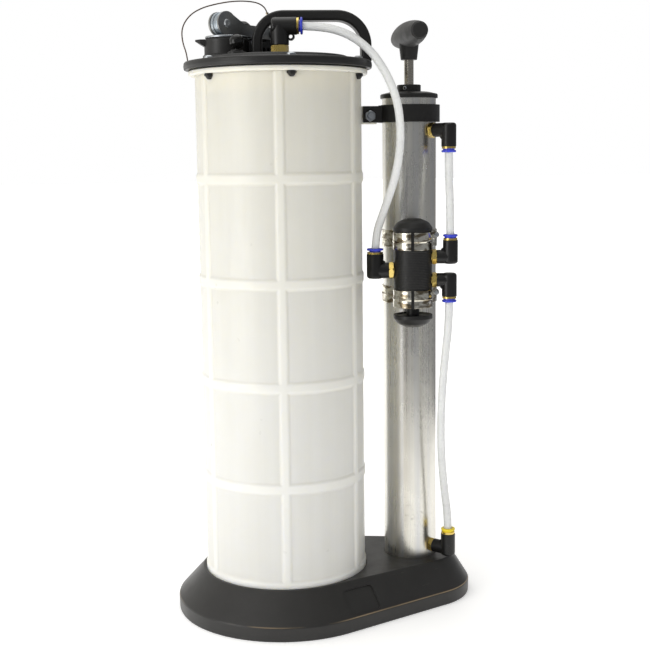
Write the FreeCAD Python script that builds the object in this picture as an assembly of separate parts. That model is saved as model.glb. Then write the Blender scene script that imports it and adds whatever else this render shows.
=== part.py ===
import FreeCAD, Part
import math
import os

# Hand vacuum pump: a ribbed fluid reservoir under a bolted lid, and a hand pump with a push/pull
# changeover valve beside it, both standing on one base and joined by push-in hoses.
# Millimetres, +Z up, +X from the reservoir to the pump, origin on the floor under the base's middle.

os.makedirs("parts", exist_ok=True)
V = FreeCAD.Vector

# ---- driving dimensions -------------------------------------------------------------------------
AXIS_GAP = 134.7          # reservoir axis to pump axis
BASE_R1, BASE_R2 = 112.0, 62.0        # base outline round the reservoir and round the pump
DECK_R1, DECK_R2 = 86.4, 44.4         # top of the base's sloping skirt
SKIRT_Z, DECK_Z = 14.5, 42.5
FOOT_GAP = 0.3            # base rim above the floor
XR = (BASE_R1 - AXIS_GAP - BASE_R2) / 2
XP = XR + AXIS_GAP

TANK_R, TANK_WALL = 82.0, 2.6
TANK_FLOOR_Z = 20.4
RECESS_Z = 20.0
FLANGE_R, FLANGE_Z, FLANGE_T = 87.9, 538.9, 4.7
RIB_PITCH, RIB_H, RIB_PROUD = 99.3, 10.5, 0.9
RIB_ANGLE = -101.0        # plan angle of one upright rib; the rest follow every 60 degrees
GASKET_T = 1.2
LID_R, LID_Z, LID_RIM_Z, LID_TOP_Z = 92.6, 544.8, 552.6, 557.0
PLATEAU_R = 68.0
BOLT_R, BOLT_ANGLE = 83.0, -92.5
NUT_H = 5.6               # domed nut under the flange
HANDLE_ANGLE, HANDLE_TOP_Z = -9.0, 601.5

NECK_X, NECK_Y, NECK_R, NECK_TOP = XR - 48.5, 12.0, 22.0, 574.6
LEVER_ANGLE = 31.9        # plan direction from the neck to the lever's pivot
PIVOT_S, PIVOT_Z = 55.0, 583.0
FLAP_S, FLAP_Z = 29.0, 573.6
STOPPER_Z, STOPPER_T = 575.8, 1.9
ROLLER_S, ROLLER_Z, ROLLER_R = -5.0, 589.6, 11.3

TUBE_R, TUBE_WALL = 27.15, 2.0
TUBE_Z0, TUBE_Z1 = 39.5, 517.0
PORT_TOP_Z, PORT_FOOT_Z, PORT_ANGLE = 484.8, 54.0, -53.3
CHAMBER_Z0, CHAMBER_Z1 = 66.0, 505.0
ROD_R = 4.75
NECK_LOW_Z, GRIP_Z, GRIP_L, GRIP_ANGLE = 555.3, 580.0, 100.0, -95.0
PISTON_Z, PISTON_H = 93.0, 16.0
STRAP_Z, STRAP_H, STRAP_T = 493.2, 17.2, 4.0

VALVE_ANGLE, VALVE_GAP = -103.2, 48.3
VALVE_Z, VALVE_H, VALVE_R = 348.0, 75.0, 18.6
VALVE_X = XP + VALVE_GAP * math.cos(math.radians(VALVE_ANGLE))
VALVE_Y = VALVE_GAP * math.sin(math.radians(VALVE_ANGLE))
VALVE_SIDE = math.radians(-17.5)      # direction in which the valve's right-hand ports point
INLET_Z, UPPER_Z, LOWER_Z = VALVE_Z - 1.0, VALVE_Z + 12.4, VALVE_Z - 10.6
SPOOL_STROKE = 7.0

HOSE_R = 4.0
STUD_R = 4.6
HEX_T = 4.5
FREE = 0.3                # gap between pieces that move past each other


# ---- helpers ------------------------------------------------------------------------------------
def polar(x, y, radius, degrees, z=0.0):
    a = math.radians(degrees)
    return V(x + radius * math.cos(a), y + radius * math.sin(a), z)


def cyl(radius, height, base, axis=(0, 0, 1)):
    return Part.makeCylinder(radius, height, V(*base), V(*axis))


def ring(outer, inner, height, base, axis=(0, 0, 1)):
    far = V(*base) - V(*axis).normalize()
    return cyl(outer, height, base, axis).cut(cyl(inner, height + 2, tuple(far), axis))


def loop(points, place):
    """Closed wire through (a, b) or (a, b, corner radius) points; place maps a, b to space."""
    corners = []
    for i, point in enumerate(points):
        here = V(point[0], point[1], 0)
        before = V(points[i - 1][0], points[i - 1][1], 0) - here
        after = V(points[(i + 1) % len(points)][0], points[(i + 1) % len(points)][1], 0) - here
        if len(point) == 2:
            corners.append((here, None, here))
            continue
        half = before.getAngle(after) / 2
        before.normalize()
        after.normalize()
        inward = (before + after).normalize()
        middle = here + inward * (point[2] / math.sin(half) - point[2])
        cut = point[2] / math.tan(half)
        corners.append((here + before * cut, middle, here + after * cut))
    edges = []
    for i, (first, middle, last) in enumerate(corners):
        if middle is not None:
            edges.append(Part.Arc(place(first), place(middle), place(last)).toShape())
        start = corners[(i + 1) % len(corners)][0]
        if (start - last).Length > 1e-6:
            edges.append(Part.LineSegment(place(last), place(start)).toShape())
    return Part.Wire(edges)


def turned(points, x=0.0, y=0.0):
    """Solid of revolution about the upright line through x, y from (radius, z) points."""
    face = Part.Face(loop(points, lambda p: V(x + p.x, y, p.y)))
    return face.revolve(V(x, y, 0), V(0, 0, 1), 360)


def slab(points, z, height):
    """Flat plate from (x, y) points."""
    return Part.Face(loop(points, lambda p: V(p.x, p.y, z))).extrude(V(0, 0, height))


def aimed(shape, origin, axis):
    """Moves a shape made along +Z at the origin to point along axis."""
    out = shape.copy()
    turn = FreeCAD.Rotation(V(0, 0, 1), V(*axis))
    out.Placement = FreeCAD.Placement(V(*origin), turn).multiply(out.Placement)
    return out


def hexagon(across, height, base, axis=(0, 0, 1), bore=0.0):
    radius = across / math.sqrt(3)
    points = [(radius * math.cos(math.radians(60 * k)), radius * math.sin(math.radians(60 * k)))
              for k in range(6)]
    nut = slab(points, 0, height).common(turned([(0, 0), (radius - 0.8, 0), (radius, 0.8),
                                                 (radius, height - 0.8), (radius - 0.8, height),
                                                 (0, height)]))
    if bore:
        nut = nut.cut(cyl(bore, height + 2, (0, 0, -1)))
    return aimed(nut, base, axis)


def box(x0, x1, y0, y1, z0, z1):
    return Part.makeBox(x1 - x0, y1 - y0, z1 - z0, V(x0, y0, z0))


def swung(shape, x, y, degrees):
    """Turns a shape made at the origin about Z and sets it down at x, y."""
    out = shape.copy()
    spin = FreeCAD.Rotation(V(0, 0, 1), degrees)
    out.Placement = FreeCAD.Placement(V(x, y, 0), spin).multiply(out.Placement)
    return out


def fused(shapes):
    shapes = list(shapes)
    return shapes[0].multiFuse(shapes[1:]).removeSplitter() if len(shapes) > 1 else shapes[0]


def save(node, *shapes):
    """Writes one node: one solid, or a group of separate solids."""
    solids = [solid for shape in shapes for solid in shape.Solids]
    for solid in solids:
        if not solid.isValid() or solid.Volume <= 0:
            raise ValueError("bad solid in " + node)
    out = solids[0] if len(solids) == 1 else Part.makeCompound(solids)
    out.exportStep("parts/" + node + ".step")
    print(node, len(solids), "solid(s)", round(sum(s.Volume for s in solids) / 1000, 2), "cm3")


def stadium(r1, r2, z):
    """Outline of two circles, round the reservoir and round the pump, with their two tangents."""
    lean = math.acos((r1 - r2) / AXIS_GAP)

    def on(x, radius, angle):
        return V(x + radius * math.cos(angle), radius * math.sin(angle), z)

    return Part.Wire([
        Part.Arc(on(XR, r1, lean), on(XR, r1, math.pi), on(XR, r1, -lean)).toShape(),
        Part.LineSegment(on(XR, r1, -lean), on(XP, r2, -lean)).toShape(),
        Part.Arc(on(XP, r2, -lean), on(XP, r2, 0), on(XP, r2, lean)).toShape(),
        Part.LineSegment(on(XP, r2, lean), on(XR, r1, lean)).toShape()])


def stacked(sections):
    return Part.makeLoft([stadium(*section) for section in sections], True, True)


# ---- base ---------------------------------------------------------------------------------------
FOOT_SPOTS = [(XR, 98.0, 75), (XR, 98.0, 180), (XR, 98.0, -75), (XP, 47.0, 45), (XP, 47.0, -45)]
FOOT_SCREW_R, FOOT_SCREW_CIRCLE = 2.5, 17.0


SKIRT_LOW = (BASE_R1 - 0.6, BASE_R2 - 0.6, SKIRT_Z + 0.4)       # the slope's lower and upper edge
SKIRT_HIGH = (DECK_R1 + 0.8, DECK_R2 + 0.8, DECK_Z - 1.3)
PANEL_W, PANEL_H, PANEL_CORNER, PANEL_DEPTH = 36.0, 26.0, 4.5, 1.3


def base_plate():
    wall = 3.4
    outer = stacked([(BASE_R1 - 0.9, BASE_R2 - 0.9, FOOT_GAP), (BASE_R1 - 0.3, BASE_R2 - 0.3, 1.5),
                     (BASE_R1, BASE_R2, SKIRT_Z - 1.1), SKIRT_LOW, SKIRT_HIGH,
                     (DECK_R1, DECK_R2, DECK_Z - 0.4), (DECK_R1 - 0.8, DECK_R2 - 0.8, DECK_Z)])
    hollow = stacked([(BASE_R1 - wall - 1, BASE_R2 - wall - 1, -0.5), (BASE_R1 - wall, BASE_R2 - wall, 12.6),
                      (SKIRT_HIGH[0] - wall, SKIRT_HIGH[1] - wall, DECK_Z - 3.3)])
    keep = [cyl(DECK_R1 + 0.2, DECK_Z, (XR, 0, RECESS_Z - 3.2)), cyl(TUBE_R + 3.9, DECK_Z, (XP, 0, 27.0))]
    keep += [cyl(9.5, DECK_Z, tuple(polar(x, 0, r, a, 3.0))) for x, r, a in FOOT_SPOTS]
    for a in range(30, 360, 60):
        keep.append(swung(box(80, BASE_R1, -1.2, 1.2, 4, 40), XR, 0, a))
    keep += [box(XP - 45, XP + BASE_R2, y - 1.2, y + 1.2, 4, 40) for y in (-24, 24)]
    for piece in keep:
        hollow = hollow.cut(piece)
    base = outer.cut(hollow)
    base = base.cut(cyl(TANK_R + 1.6, DECK_Z, (XR, 0, RECESS_Z)))
    base = base.cut(cyl(TUBE_R + 0.45, DECK_Z, (XP, 0, TUBE_Z0)))
    for a in (90, 210, 330):
        spot = polar(XP, 0, FOOT_SCREW_CIRCLE, a, 20)
        base = base.cut(cyl(FOOT_SCREW_R + 0.1, 30, tuple(spot)))
    for x, r, a in FOOT_SPOTS:
        base = base.cut(cyl(3.0, 6.0, tuple(polar(x, 0, r, a, 1.0))))
    return base.cut(skirt_panel())


def on_skirt(share, rise):
    """Point on the slope's front flat: share of the way to the pump, rise from its lower edge."""
    r1, r2, z = [low + (high - low) * rise for low, high in zip(SKIRT_LOW, SKIRT_HIGH)]
    lean = -math.acos((r1 - r2) / AXIS_GAP)
    near = V(XR + r1 * math.cos(lean), r1 * math.sin(lean), z)
    far = V(XP + r2 * math.cos(lean), r2 * math.sin(lean), z)
    return near + (far - near) * share


def skirt_panel():
    """Cutter for the shallow blank panel on the front of the slope."""
    share, rise = 0.19, 0.43
    middle = on_skirt(share, rise)
    across = (on_skirt(1, rise) - on_skirt(0, rise)).normalize()
    out = across.cross(on_skirt(share, 1) - on_skirt(share, 0)).normalize()
    down = across.cross(out).normalize()
    half_w, half_h = PANEL_W / 2, PANEL_H / 2
    outline = [(-half_w, -half_h), (half_w, -half_h), (half_w, half_h), (-half_w, half_h)]
    outline = [corner + (PANEL_CORNER,) for corner in outline]
    face = Part.Face(loop(outline, lambda p: middle + across * p.x + down * p.y - out * PANEL_DEPTH))
    return face.extrude(out * 6)


def rubber_foot(x, radius, angle):
    spot = polar(x, 0, radius, angle)
    return fused([turned([(0, 0), (8.6, 0, 0.8), (9.0, 3.0), (0, 3.0)], spot.x, spot.y),
                  cyl(2.9, 6.4, (spot.x, spot.y, 0.4))])


def foot_screw(angle):
    spot = polar(XP, 0, FOOT_SCREW_CIRCLE, angle)
    return fused([cyl(FOOT_SCREW_R, 27.0, (spot.x, spot.y, 26.0)),
                  cyl(4.6, 3.0, (spot.x, spot.y, 24.0))])


save("base_plate", base_plate())
save("rubber_feet", *[rubber_foot(*spot) for spot in FOOT_SPOTS])
save("pump_foot_screws", *[foot_screw(a) for a in (90, 210, 330)])


# ---- reservoir ----------------------------------------------------------------------------------
LUG_X, LUG_Z = XR + 91.2, STRAP_Z + STRAP_H / 2 - 2.2


def bolt_spots(z):
    return [polar(XR, 0, BOLT_R, BOLT_ANGLE + 60 * k, z) for k in range(6)]


def reservoir():
    flange_top = FLANGE_Z + FLANGE_T
    wall = TANK_R - TANK_WALL
    profile = [(0, TANK_FLOOR_Z), (TANK_R - 1, TANK_FLOOR_Z, 3)]
    for k in (5, 4, 3, 2, 1):
        rib = FLANGE_Z - k * RIB_PITCH if k < 5 else DECK_Z + 1.5
        half = RIB_H / 2
        profile += [(TANK_R, rib - half - 1.2, 0.8), (TANK_R + RIB_PROUD, rib - half, 0.8),
                    (TANK_R + RIB_PROUD, rib + half, 0.8), (TANK_R, rib + half + 1.2, 0.8)]
    profile += [(TANK_R, FLANGE_Z, 1.5), (FLANGE_R, FLANGE_Z, 1.5), (FLANGE_R, flange_top, 0.8),
                (75.5, flange_top), (75.5, 527), (wall, 521, 2), (wall, TANK_FLOOR_Z + 3, 4),
                (0, TANK_FLOOR_Z + 3)]
    tank = turned(profile, XR, 0)
    crest, foot = 3.7, 5.2
    rib = slab([(wall + 0.6, -foot), (TANK_R - 0.2, -foot), (TANK_R + RIB_PROUD, -crest, 0.6),
                (TANK_R + RIB_PROUD, crest, 0.6), (TANK_R - 0.2, foot), (wall + 0.6, foot)],
               DECK_Z - 6, FLANGE_Z + 1 - DECK_Z + 6)
    lug = box(TANK_R - 2, LUG_X + 8.5 - XR, -4, 4, STRAP_Z - 1.6, STRAP_Z + STRAP_H - 1)
    extras = [swung(rib, XR, 0, RIB_ANGLE + 60 * k) for k in range(6)] + [swung(lug, XR, 0, 0)]
    tank = fused([tank] + extras)
    tank = tank.cut(cyl(3.2, 20, (LUG_X, 10, LUG_Z), (0, -1, 0)))
    for spot in bolt_spots(FLANGE_Z - NUT_H - 0.6):
        tank = tank.cut(cyl(2.6, 20, tuple(spot)))
        tank = tank.cut(cyl(4.7, NUT_H + 0.6, tuple(spot)))
    return tank


def gasket():
    body = ring(86.6, 77.0, GASKET_T, (XR, 0, FLANGE_Z + FLANGE_T))
    for spot in bolt_spots(FLANGE_Z):
        body = body.cut(cyl(2.6, 10, tuple(spot)))
    return body


save("reservoir", reservoir())
save("lid_gasket", gasket())

# ---- lid ----------------------------------------------------------------------------------------
LID_ELBOW = (XR - 2.4, -24.0, 584.5)
KNOB_X, KNOB_Y = XR - 44.2, -22.4
CAP_X, CAP_Y = XR - 27.0, 50.0
WIRE_R = 0.65
EYE_ANGLE = -9.6
WIRE_END = polar(CAP_X, CAP_Y, 12.0, EYE_ANGLE, 559.0)
PICKUP = (XR + 34.0, 30.0)
WIRE_HOLE = polar(XR, 0, 88.2, 165.5, LID_RIM_Z)
HANDLE_LEGS = (-20.3, 87.0)


def along_handle(s):
    return polar(XR, 0, s, HANDLE_ANGLE)


def lid():
    body = turned([(0, LID_Z), (LID_R - 0.6, LID_Z, 1.2), (LID_R, 548), (LID_R - 0.6, LID_RIM_Z, 2.4),
                   (PLATEAU_R + 4, LID_RIM_Z, 1.0), (PLATEAU_R, LID_TOP_Z, 1.5), (0, LID_TOP_Z)], XR, 0)
    body = body.cut(cyl(73.0, 6.6, (XR, 0, LID_Z - 1)))
    ribs = [swung(box(0, 74, -1.2, 1.2, LID_Z + 0.5, 553), XR, 0, 60 * k + 11) for k in range(6)]
    collars = [cyl(25.0, 12, (NECK_X, NECK_Y, LID_Z)), cyl(20.0, 12, (LID_ELBOW[0], LID_ELBOW[1], LID_Z)),
               cyl(13.0, 12, (KNOB_X, KNOB_Y, LID_Z)), cyl(13.0, 12, (CAP_X, CAP_Y, LID_Z)),
               cyl(11.0, 12, (PICKUP[0], PICKUP[1], LID_Z))]
    body = fused([body] + ribs + collars)
    holes = [cyl(NECK_R - 3.0, 40, (NECK_X, NECK_Y, 530)),
             cyl(STUD_R, 40, (LID_ELBOW[0], LID_ELBOW[1], 530)),
             cyl(4.2, 40, (KNOB_X, KNOB_Y, 530)), cyl(5.0, 40, (CAP_X, CAP_Y, 530)),
             cyl(5.0, 10.2, (PICKUP[0], PICKUP[1], LID_Z - 1)), cyl(1.1, 30, tuple(WIRE_HOLE - V(0, 0, 6)))]
    holes += [cyl(2.6, 30, tuple(spot)) for spot in bolt_spots(540)]
    for s in HANDLE_LEGS:
        spot = along_handle(s)
        holes += [cyl(2.1, 30, (spot.x, spot.y, 540)), cyl(4.2, 4.2, (spot.x, spot.y, LID_Z - 1))]
    for hole in holes:
        body = body.cut(hole)
    return body


def lid_bolt(spot):
    head = turned([(0, LID_RIM_Z), (4.4, LID_RIM_Z), (4.4, LID_RIM_Z + 1.6, 0.6),
                   (2.8, LID_RIM_Z + 2.8, 0.6), (0, LID_RIM_Z + 2.8)], spot.x, spot.y)
    head = head.cut(hexagon(2.6, 3, (spot.x, spot.y, LID_RIM_Z + 1.2)))
    low = FLANGE_Z - NUT_H + 1.8
    return fused([head, cyl(2.5, LID_RIM_Z - low, (spot.x, spot.y, low))])


def cap_nut(spot):
    low = FLANGE_Z - NUT_H
    nut = hexagon(8.0, 3.0, (spot.x, spot.y, FLANGE_Z - 3.0))
    dome = turned([(0, low), (1.7, low, 1.0), (3.4, low + 2.0, 1.2), (3.4, FLANGE_Z - 1),
                   (0, FLANGE_Z - 1)], spot.x, spot.y)
    return fused([nut, dome]).cut(cyl(2.5, 10, (spot.x, spot.y, low + 1.8)))


save("lid", lid())
save("lid_bolts", *[lid_bolt(spot) for spot in bolt_spots(0)])
save("lid_cap_nuts", *[cap_nut(spot) for spot in bolt_spots(0)])


# ---- carry handle -------------------------------------------------------------------------------
def carry_handle():
    z1, bar, depth = HANDLE_TOP_Z, 10.0, 20.0
    left, right = HANDLE_LEGS[0] - bar / 2, HANDLE_LEGS[1] + bar / 2
    outline = [(left, LID_TOP_Z), (left, z1, 31), (right, z1, 34), (right, LID_RIM_Z),
               (right - bar, LID_RIM_Z), (right - bar, z1 - bar, 24), (left + bar, z1 - bar, 21),
               (left + bar, LID_TOP_Z)]
    arch = Part.Face(loop(outline, lambda p: V(p.x, -depth / 2, p.y))).extrude(V(0, depth, 0))
    lengthwise = [edge for edge in arch.Edges if abs(edge.BoundBox.YLength) < 1e-6
                  and edge.BoundBox.ZMax > LID_TOP_Z + 1]
    arch = arch.makeFillet(2.6, lengthwise)
    pads = box(left, left + bar + 2.5, -depth / 2 - 1, depth / 2 + 1, LID_TOP_Z, LID_TOP_Z + 2.2)
    arch = fused([arch, pads])
    for s in HANDLE_LEGS:
        arch = arch.cut(cyl(2.1, 24, (s, 0, 540)))
    return swung(arch, XR, 0, HANDLE_ANGLE)


def handle_screw(s):
    spot = along_handle(s)
    foot = (spot.x, spot.y, LID_Z + 0.8)
    return fused([cyl(2.1, 16.5, foot), cyl(4.0, 2.2, foot)])


save("carry_handle", carry_handle())
save("handle_screws", *[handle_screw(s) for s in HANDLE_LEGS])

# ---- inside the reservoir -----------------------------------------------------------------------
CAGE_R, CAGE_Z0 = 17.0, 492.0


def float_cage():
    x, y = LID_ELBOW[0], LID_ELBOW[1]
    cage = turned([(0, CAGE_Z0), (CAGE_R, CAGE_Z0, 2), (CAGE_R, LID_Z), (STUD_R, LID_Z),
                   (STUD_R, LID_Z - 3), (CAGE_R - 2, LID_Z - 3), (CAGE_R - 2, CAGE_Z0 + 2),
                   (0, CAGE_Z0 + 2)], x, y)
    for k in range(4):
        cage = cage.cut(swung(box(5, CAGE_R + 2, -5, 5, CAGE_Z0 + 6, LID_Z - 8), x, y, 45 + 90 * k))
    return cage.cut(cyl(6, 6, (x, y, CAGE_Z0 - 2)))


def float_ball():
    x, y = LID_ELBOW[0], LID_ELBOW[1]
    z = CAGE_Z0 + 2
    return turned([(0, z), (CAGE_R - 3.2, z, 4), (CAGE_R - 3.2, z + 24, 4), (6, z + 24, 2),
                   (4.5, z + 30, 2), (0, z + 30)], x, y)


def pickup_tube():
    tube = ring(5.0, 3.6, 520, (PICKUP[0], PICKUP[1], 34.0))
    return tube.cut(swung(box(-8, 8, -1.4, 1.4, 30, 44), PICKUP[0], PICKUP[1], 30))


save("float_cage", float_cage())
save("float_ball", float_ball())
save("pickup_tube", pickup_tube())


# ---- pour neck, stopper and its roller lever ----------------------------------------------------
def on_lever(s, w, z):
    """Point at s along the lever from the neck's axis, w to its left, at height z."""
    a = math.radians(LEVER_ANGLE)
    return V(NECK_X + s * math.cos(a) - w * math.sin(a), NECK_Y + s * math.sin(a) + w * math.cos(a), z)


def lever_plane(shape):
    """Sets down a shape made with +X along the lever and the neck's axis at the origin."""
    return swung(shape, NECK_X, NECK_Y, LEVER_ANGLE)


def side_plate(points, w, thickness):
    """Upright plate in the lever's plane from (s, z) points."""
    return Part.Face(loop(points, lambda p: V(p.x, w, p.y))).extrude(V(0, thickness, 0))


ACROSS = tuple(on_lever(0, 1, 0) - on_lever(0, 0, 0))


def pour_spout():
    neck = turned([(NECK_R - 3, LID_TOP_Z), (NECK_R + 1.5, LID_TOP_Z), (NECK_R + 1.5, LID_TOP_Z + 2, 0.5),
                   (NECK_R, LID_TOP_Z + 3, 1), (NECK_R, NECK_TOP, 0.8), (NECK_R - 3, NECK_TOP, 0.8)],
                  NECK_X, NECK_Y)
    tip = slab([(0, -9), (26, -6), (31, 0, 1), (26, 6), (0, 9)], 0, 9)
    under = Part.Face(loop([(18, 0), (34, 9.2), (40, 9.2), (40, -3), (18, -3)],
                           lambda p: V(p.x, -12, p.y))).extrude(V(0, 24, 0))
    tip = tip.cut(under)
    tip.translate(V(0, 0, NECK_TOP - 9))
    neck = fused([neck, swung(tip, NECK_X, NECK_Y, 172)])
    return neck.cut(cyl(NECK_R - 3, 40, (NECK_X, NECK_Y, LID_TOP_Z - 5)))


def clamp_bracket():
    """Block bolted to the lid that carries the stopper's hinge and the lever's pivot."""
    post = side_plate([(FLAP_S - 3.4, LID_TOP_Z), (PIVOT_S + 9, LID_TOP_Z), (PIVOT_S + 5, PIVOT_Z, 1),
                       (PIVOT_S + 4.5, PIVOT_Z + 5, 4), (PIVOT_S - 5, PIVOT_Z + 5, 4),
                       (PIVOT_S - 7, FLAP_Z + 1, 4), (FLAP_S + 4, FLAP_Z - 6, 3),
                       (FLAP_S - 3.4, FLAP_Z - 6)], -5.0, 10.0)
    foot = slab([(FLAP_S - 3.4, -9, 2), (PIVOT_S + 12, -9, 3), (PIVOT_S + 12, 9, 3), (FLAP_S - 3.4, 9, 2)],
                LID_TOP_Z, 4.0)
    ears = [side_plate([(FLAP_S - 3.2, LID_TOP_Z), (FLAP_S + 3.2, LID_TOP_Z),
                        (FLAP_S + 3.2, FLAP_Z + 3.2, 3), (FLAP_S - 3.2, FLAP_Z + 3.2, 3)], w, 1.8)
            for w in (-5.0, 3.2)]
    ribs = [box(s, s + 2, -8, 8, LID_TOP_Z + 3, LID_TOP_Z + 12) for s in (38, 44, 50)]
    body = fused([post, foot] + ears + ribs)
    body = body.cut(cyl(1.6, 30, (FLAP_S, -15, FLAP_Z), (0, 1, 0)))
    body = body.cut(cyl(3.0, 30, (PIVOT_S, -15, PIVOT_Z), (0, 1, 0)))
    return lever_plane(body)


def bracket_pins():
    flap = cyl(1.6, 10.0, tuple(on_lever(FLAP_S, -5.0, FLAP_Z)), ACROSS)
    pivot = cyl(3.0, 16.0, tuple(on_lever(PIVOT_S, -8.0, PIVOT_Z)), ACROSS)
    heads = [cyl(4.4, 1.4, tuple(on_lever(PIVOT_S, w, PIVOT_Z)), ACROSS) for w in (-9.4, 8.0)]
    return flap, fused([pivot] + heads)


def stopper_plate():
    z0, z1 = STOPPER_Z, STOPPER_Z + STOPPER_T
    disc = turned([(0, z0), (21, z0, 0.4), (21, z1, 0.8), (0, z1)], 0, 0)
    tongue = box(0, FLAP_S + 0.5, -2.8, 2.8, z0, z1)
    knuckle = cyl(2.9, 5.6, (FLAP_S, -2.8, FLAP_Z), (0, 1, 0))
    drop = box(FLAP_S - 1.4, FLAP_S + 2.4, -2.8, 2.8, FLAP_Z + 1, z1)
    flap = fused([disc, tongue, knuckle, drop])
    return lever_plane(flap.cut(cyl(1.65, 20, (FLAP_S, -10, FLAP_Z), (0, 1, 0))))


def stopper_seal():
    return turned([(0, 571.5), (NECK_R - 3.8, 571.5, 1.2), (NECK_R - 3.6, 574.9), (20.4, 574.9, 0.3),
                   (20.4, STOPPER_Z), (0, STOPPER_Z)], NECK_X, NECK_Y)


def clamp_lever():
    """Two cheek plates round the roller, joined by a web over the arm."""
    head_r, top = 11.6, ROLLER_Z + 9.2
    head = cyl(head_r, 2.0, (ROLLER_S, 0, ROLLER_Z), (0, 1, 0))
    arm = side_plate([(ROLLER_S, 578.0), (22, 578.4, 4), (30, 577.2, 4), (PIVOT_S + 5, 577.2, 5),
                      (PIVOT_S + 7, PIVOT_Z, 3), (PIVOT_S + 4, 589.2, 5), (30, 589.4, 8), (18, 589.8, 6),
                      (ROLLER_S + 8, top - 0.8, 6), (ROLLER_S, top)], 0, 2.0)
    cheek = fused([head, arm]).cut(cyl(2.5, 6, (ROLLER_S, -2, ROLLER_Z), (0, 1, 0)))
    cheek = cheek.cut(cyl(3.05, 6, (PIVOT_S, -2, PIVOT_Z), (0, 1, 0)))
    cheeks = []
    for w in (-7.5, 5.5):
        one = cheek.copy()
        one.translate(V(0, w, 0))
        cheeks.append(one)
    web = box(24, 46, -5.6, 5.6, 587.4, 589.4)
    return lever_plane(fused(cheeks + [web]))


def clamp_roller():
    rim, groove = ROLLER_R, ROLLER_R - 0.9
    roller = turned([(2.55, -5.1), (rim, -5.1, 1.2), (rim, -1.6, 0.5), (groove, -1.0), (groove, 1.0),
                     (rim, 1.6, 0.5), (rim, 5.1, 1.2), (2.55, 5.1)])
    return aimed(roller, tuple(on_lever(ROLLER_S, 0, ROLLER_Z)), ACROSS)


def roller_rivet():
    shank = cyl(2.5, 15.0, tuple(on_lever(ROLLER_S, -7.5, ROLLER_Z)), ACROSS)
    heads = []
    for w, way in ((-7.5, -1), (7.5, 1)):
        head = turned([(0, 0), (4.2, 0), (3.4, 1.4, 0.6), (1.6, 1.4), (1.2, 0.7), (0, 0.7)])
        axis = tuple(V(*ACROSS) * way)
        heads.append(aimed(head, tuple(on_lever(ROLLER_S, w, ROLLER_Z)), axis))
    return fused([shank] + heads)


save("pour_spout", pour_spout())
save("clamp_bracket", clamp_bracket())
save("bracket_pins", *bracket_pins())
save("stopper_plate", stopper_plate())
save("stopper_seal", stopper_seal())
save("clamp_lever", clamp_lever())
save("clamp_roller", clamp_roller())
save("roller_rivet", roller_rivet())


# ---- relief valve, port cap and lanyard ---------------------------------------------------------
def relief_valve_body():
    return turned([(2.1, 548), (4.2, 548), (4.2, LID_TOP_Z), (9.0, LID_TOP_Z), (9.0, 560, 0.8),
                   (6.0, 561, 0.5), (6.0, 562, 0.4), (2.1, 562)], KNOB_X, KNOB_Y)


def relief_knob():
    """Ball knob on a stem whose collar is held down by the spring under the lid."""
    ball = Part.makeSphere(7.1, V(KNOB_X, KNOB_Y, 569.8))
    stem = cyl(2.05, 34, (KNOB_X, KNOB_Y, 532.0))
    collar = turned([(0, 530), (6.2, 530, 0.6), (6.2, 532, 0.6), (0, 532)], KNOB_X, KNOB_Y)
    return fused([ball, stem, collar])


def relief_spring():
    """Coil spring between the stem's collar and the lid, as a plain sleeve of its outer size."""
    return ring(5.4, 3.2, LID_Z - 532.6, (KNOB_X, KNOB_Y, 532.3))


def port_neck():
    """Threaded neck of the spare port, with the eye that holds the lanyard's end."""
    neck = turned([(3.0, 548), (5.0, 548), (5.0, LID_TOP_Z), (9.0, LID_TOP_Z, 0.4), (9.0, 561, 1),
                   (6.4, 563, 1), (6.4, 580), (3.0, 580)], CAP_X, CAP_Y)
    eye = cyl(2.8, 4.0, (WIRE_END.x, WIRE_END.y, LID_TOP_Z))
    arm = swung(box(7.0, 11.9, -2.8, 2.8, LID_TOP_Z, LID_TOP_Z + 4.0), CAP_X, CAP_Y, EYE_ANGLE)
    neck = fused([neck, arm, eye])
    return neck.cut(cyl(WIRE_R + 0.1, 6, tuple(WIRE_END)))


def port_cap():
    """Ribbed cap with a waist under its domed top."""
    cap = turned([(6.8, 566), (9.4, 566, 0.8), (9.4, 583, 1.5), (7.6, 585, 0.8), (7.6, 587.5, 0.8),
                  (9.2, 589, 0.8), (9.0, 593, 2.5), (5, 596.4, 4), (0, 596.8), (0, 581), (6.8, 581)],
                 CAP_X, CAP_Y)
    for k in range(12):
        cap = cap.cut(swung(cyl(0.9, 14, (9.9, 0, 567)), CAP_X, CAP_Y, 30 * k))
    return cap


save("relief_valve_body", relief_valve_body())
save("relief_knob", relief_knob())
save("relief_spring", relief_spring())
save("port_neck", port_neck())
save("port_cap", port_cap())


# ---- cords: straight runs joined by tangent arcs ------------------------------------------------
def cord(node, points, radius):
    """Round bar along a route; each arc is as large as its two runs allow."""
    points = [V(*p) for p in points]
    start, edges, radii = points[0], [], []
    for i in range(1, len(points) - 1):
        here = points[i]
        back, on = points[i - 1] - here, points[i + 1] - here
        turn = math.pi - back.getAngle(on)
        bend = 0.45 * min(back.Length, on.Length) / math.tan(turn / 2)
        reach = bend * math.tan(turn / 2)
        back.normalize()
        on.normalize()
        first, last = here + back * reach, here + on * reach
        middle = here + (back + on).normalize() * (bend / math.cos(turn / 2) - bend)
        edges.append(Part.LineSegment(start, first).toShape())
        edges.append(Part.Arc(first, middle, last).toShape())
        start = last
        radii.append(round(bend, 1))
    edges.append(Part.LineSegment(start, points[-1]).toShape())
    path = Part.Wire(edges)
    section = Part.Wire(Part.makeCircle(radius, points[0], points[1] - points[0]))
    bar = path.makePipeShell([section], True, False, 0)
    expected = math.pi * radius ** 2 * path.Length
    print(node, "length", round(path.Length, 1), "radii", radii, "volume ratio",
          round(bar.Volume / expected, 4))
    save(node, bar)


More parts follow.
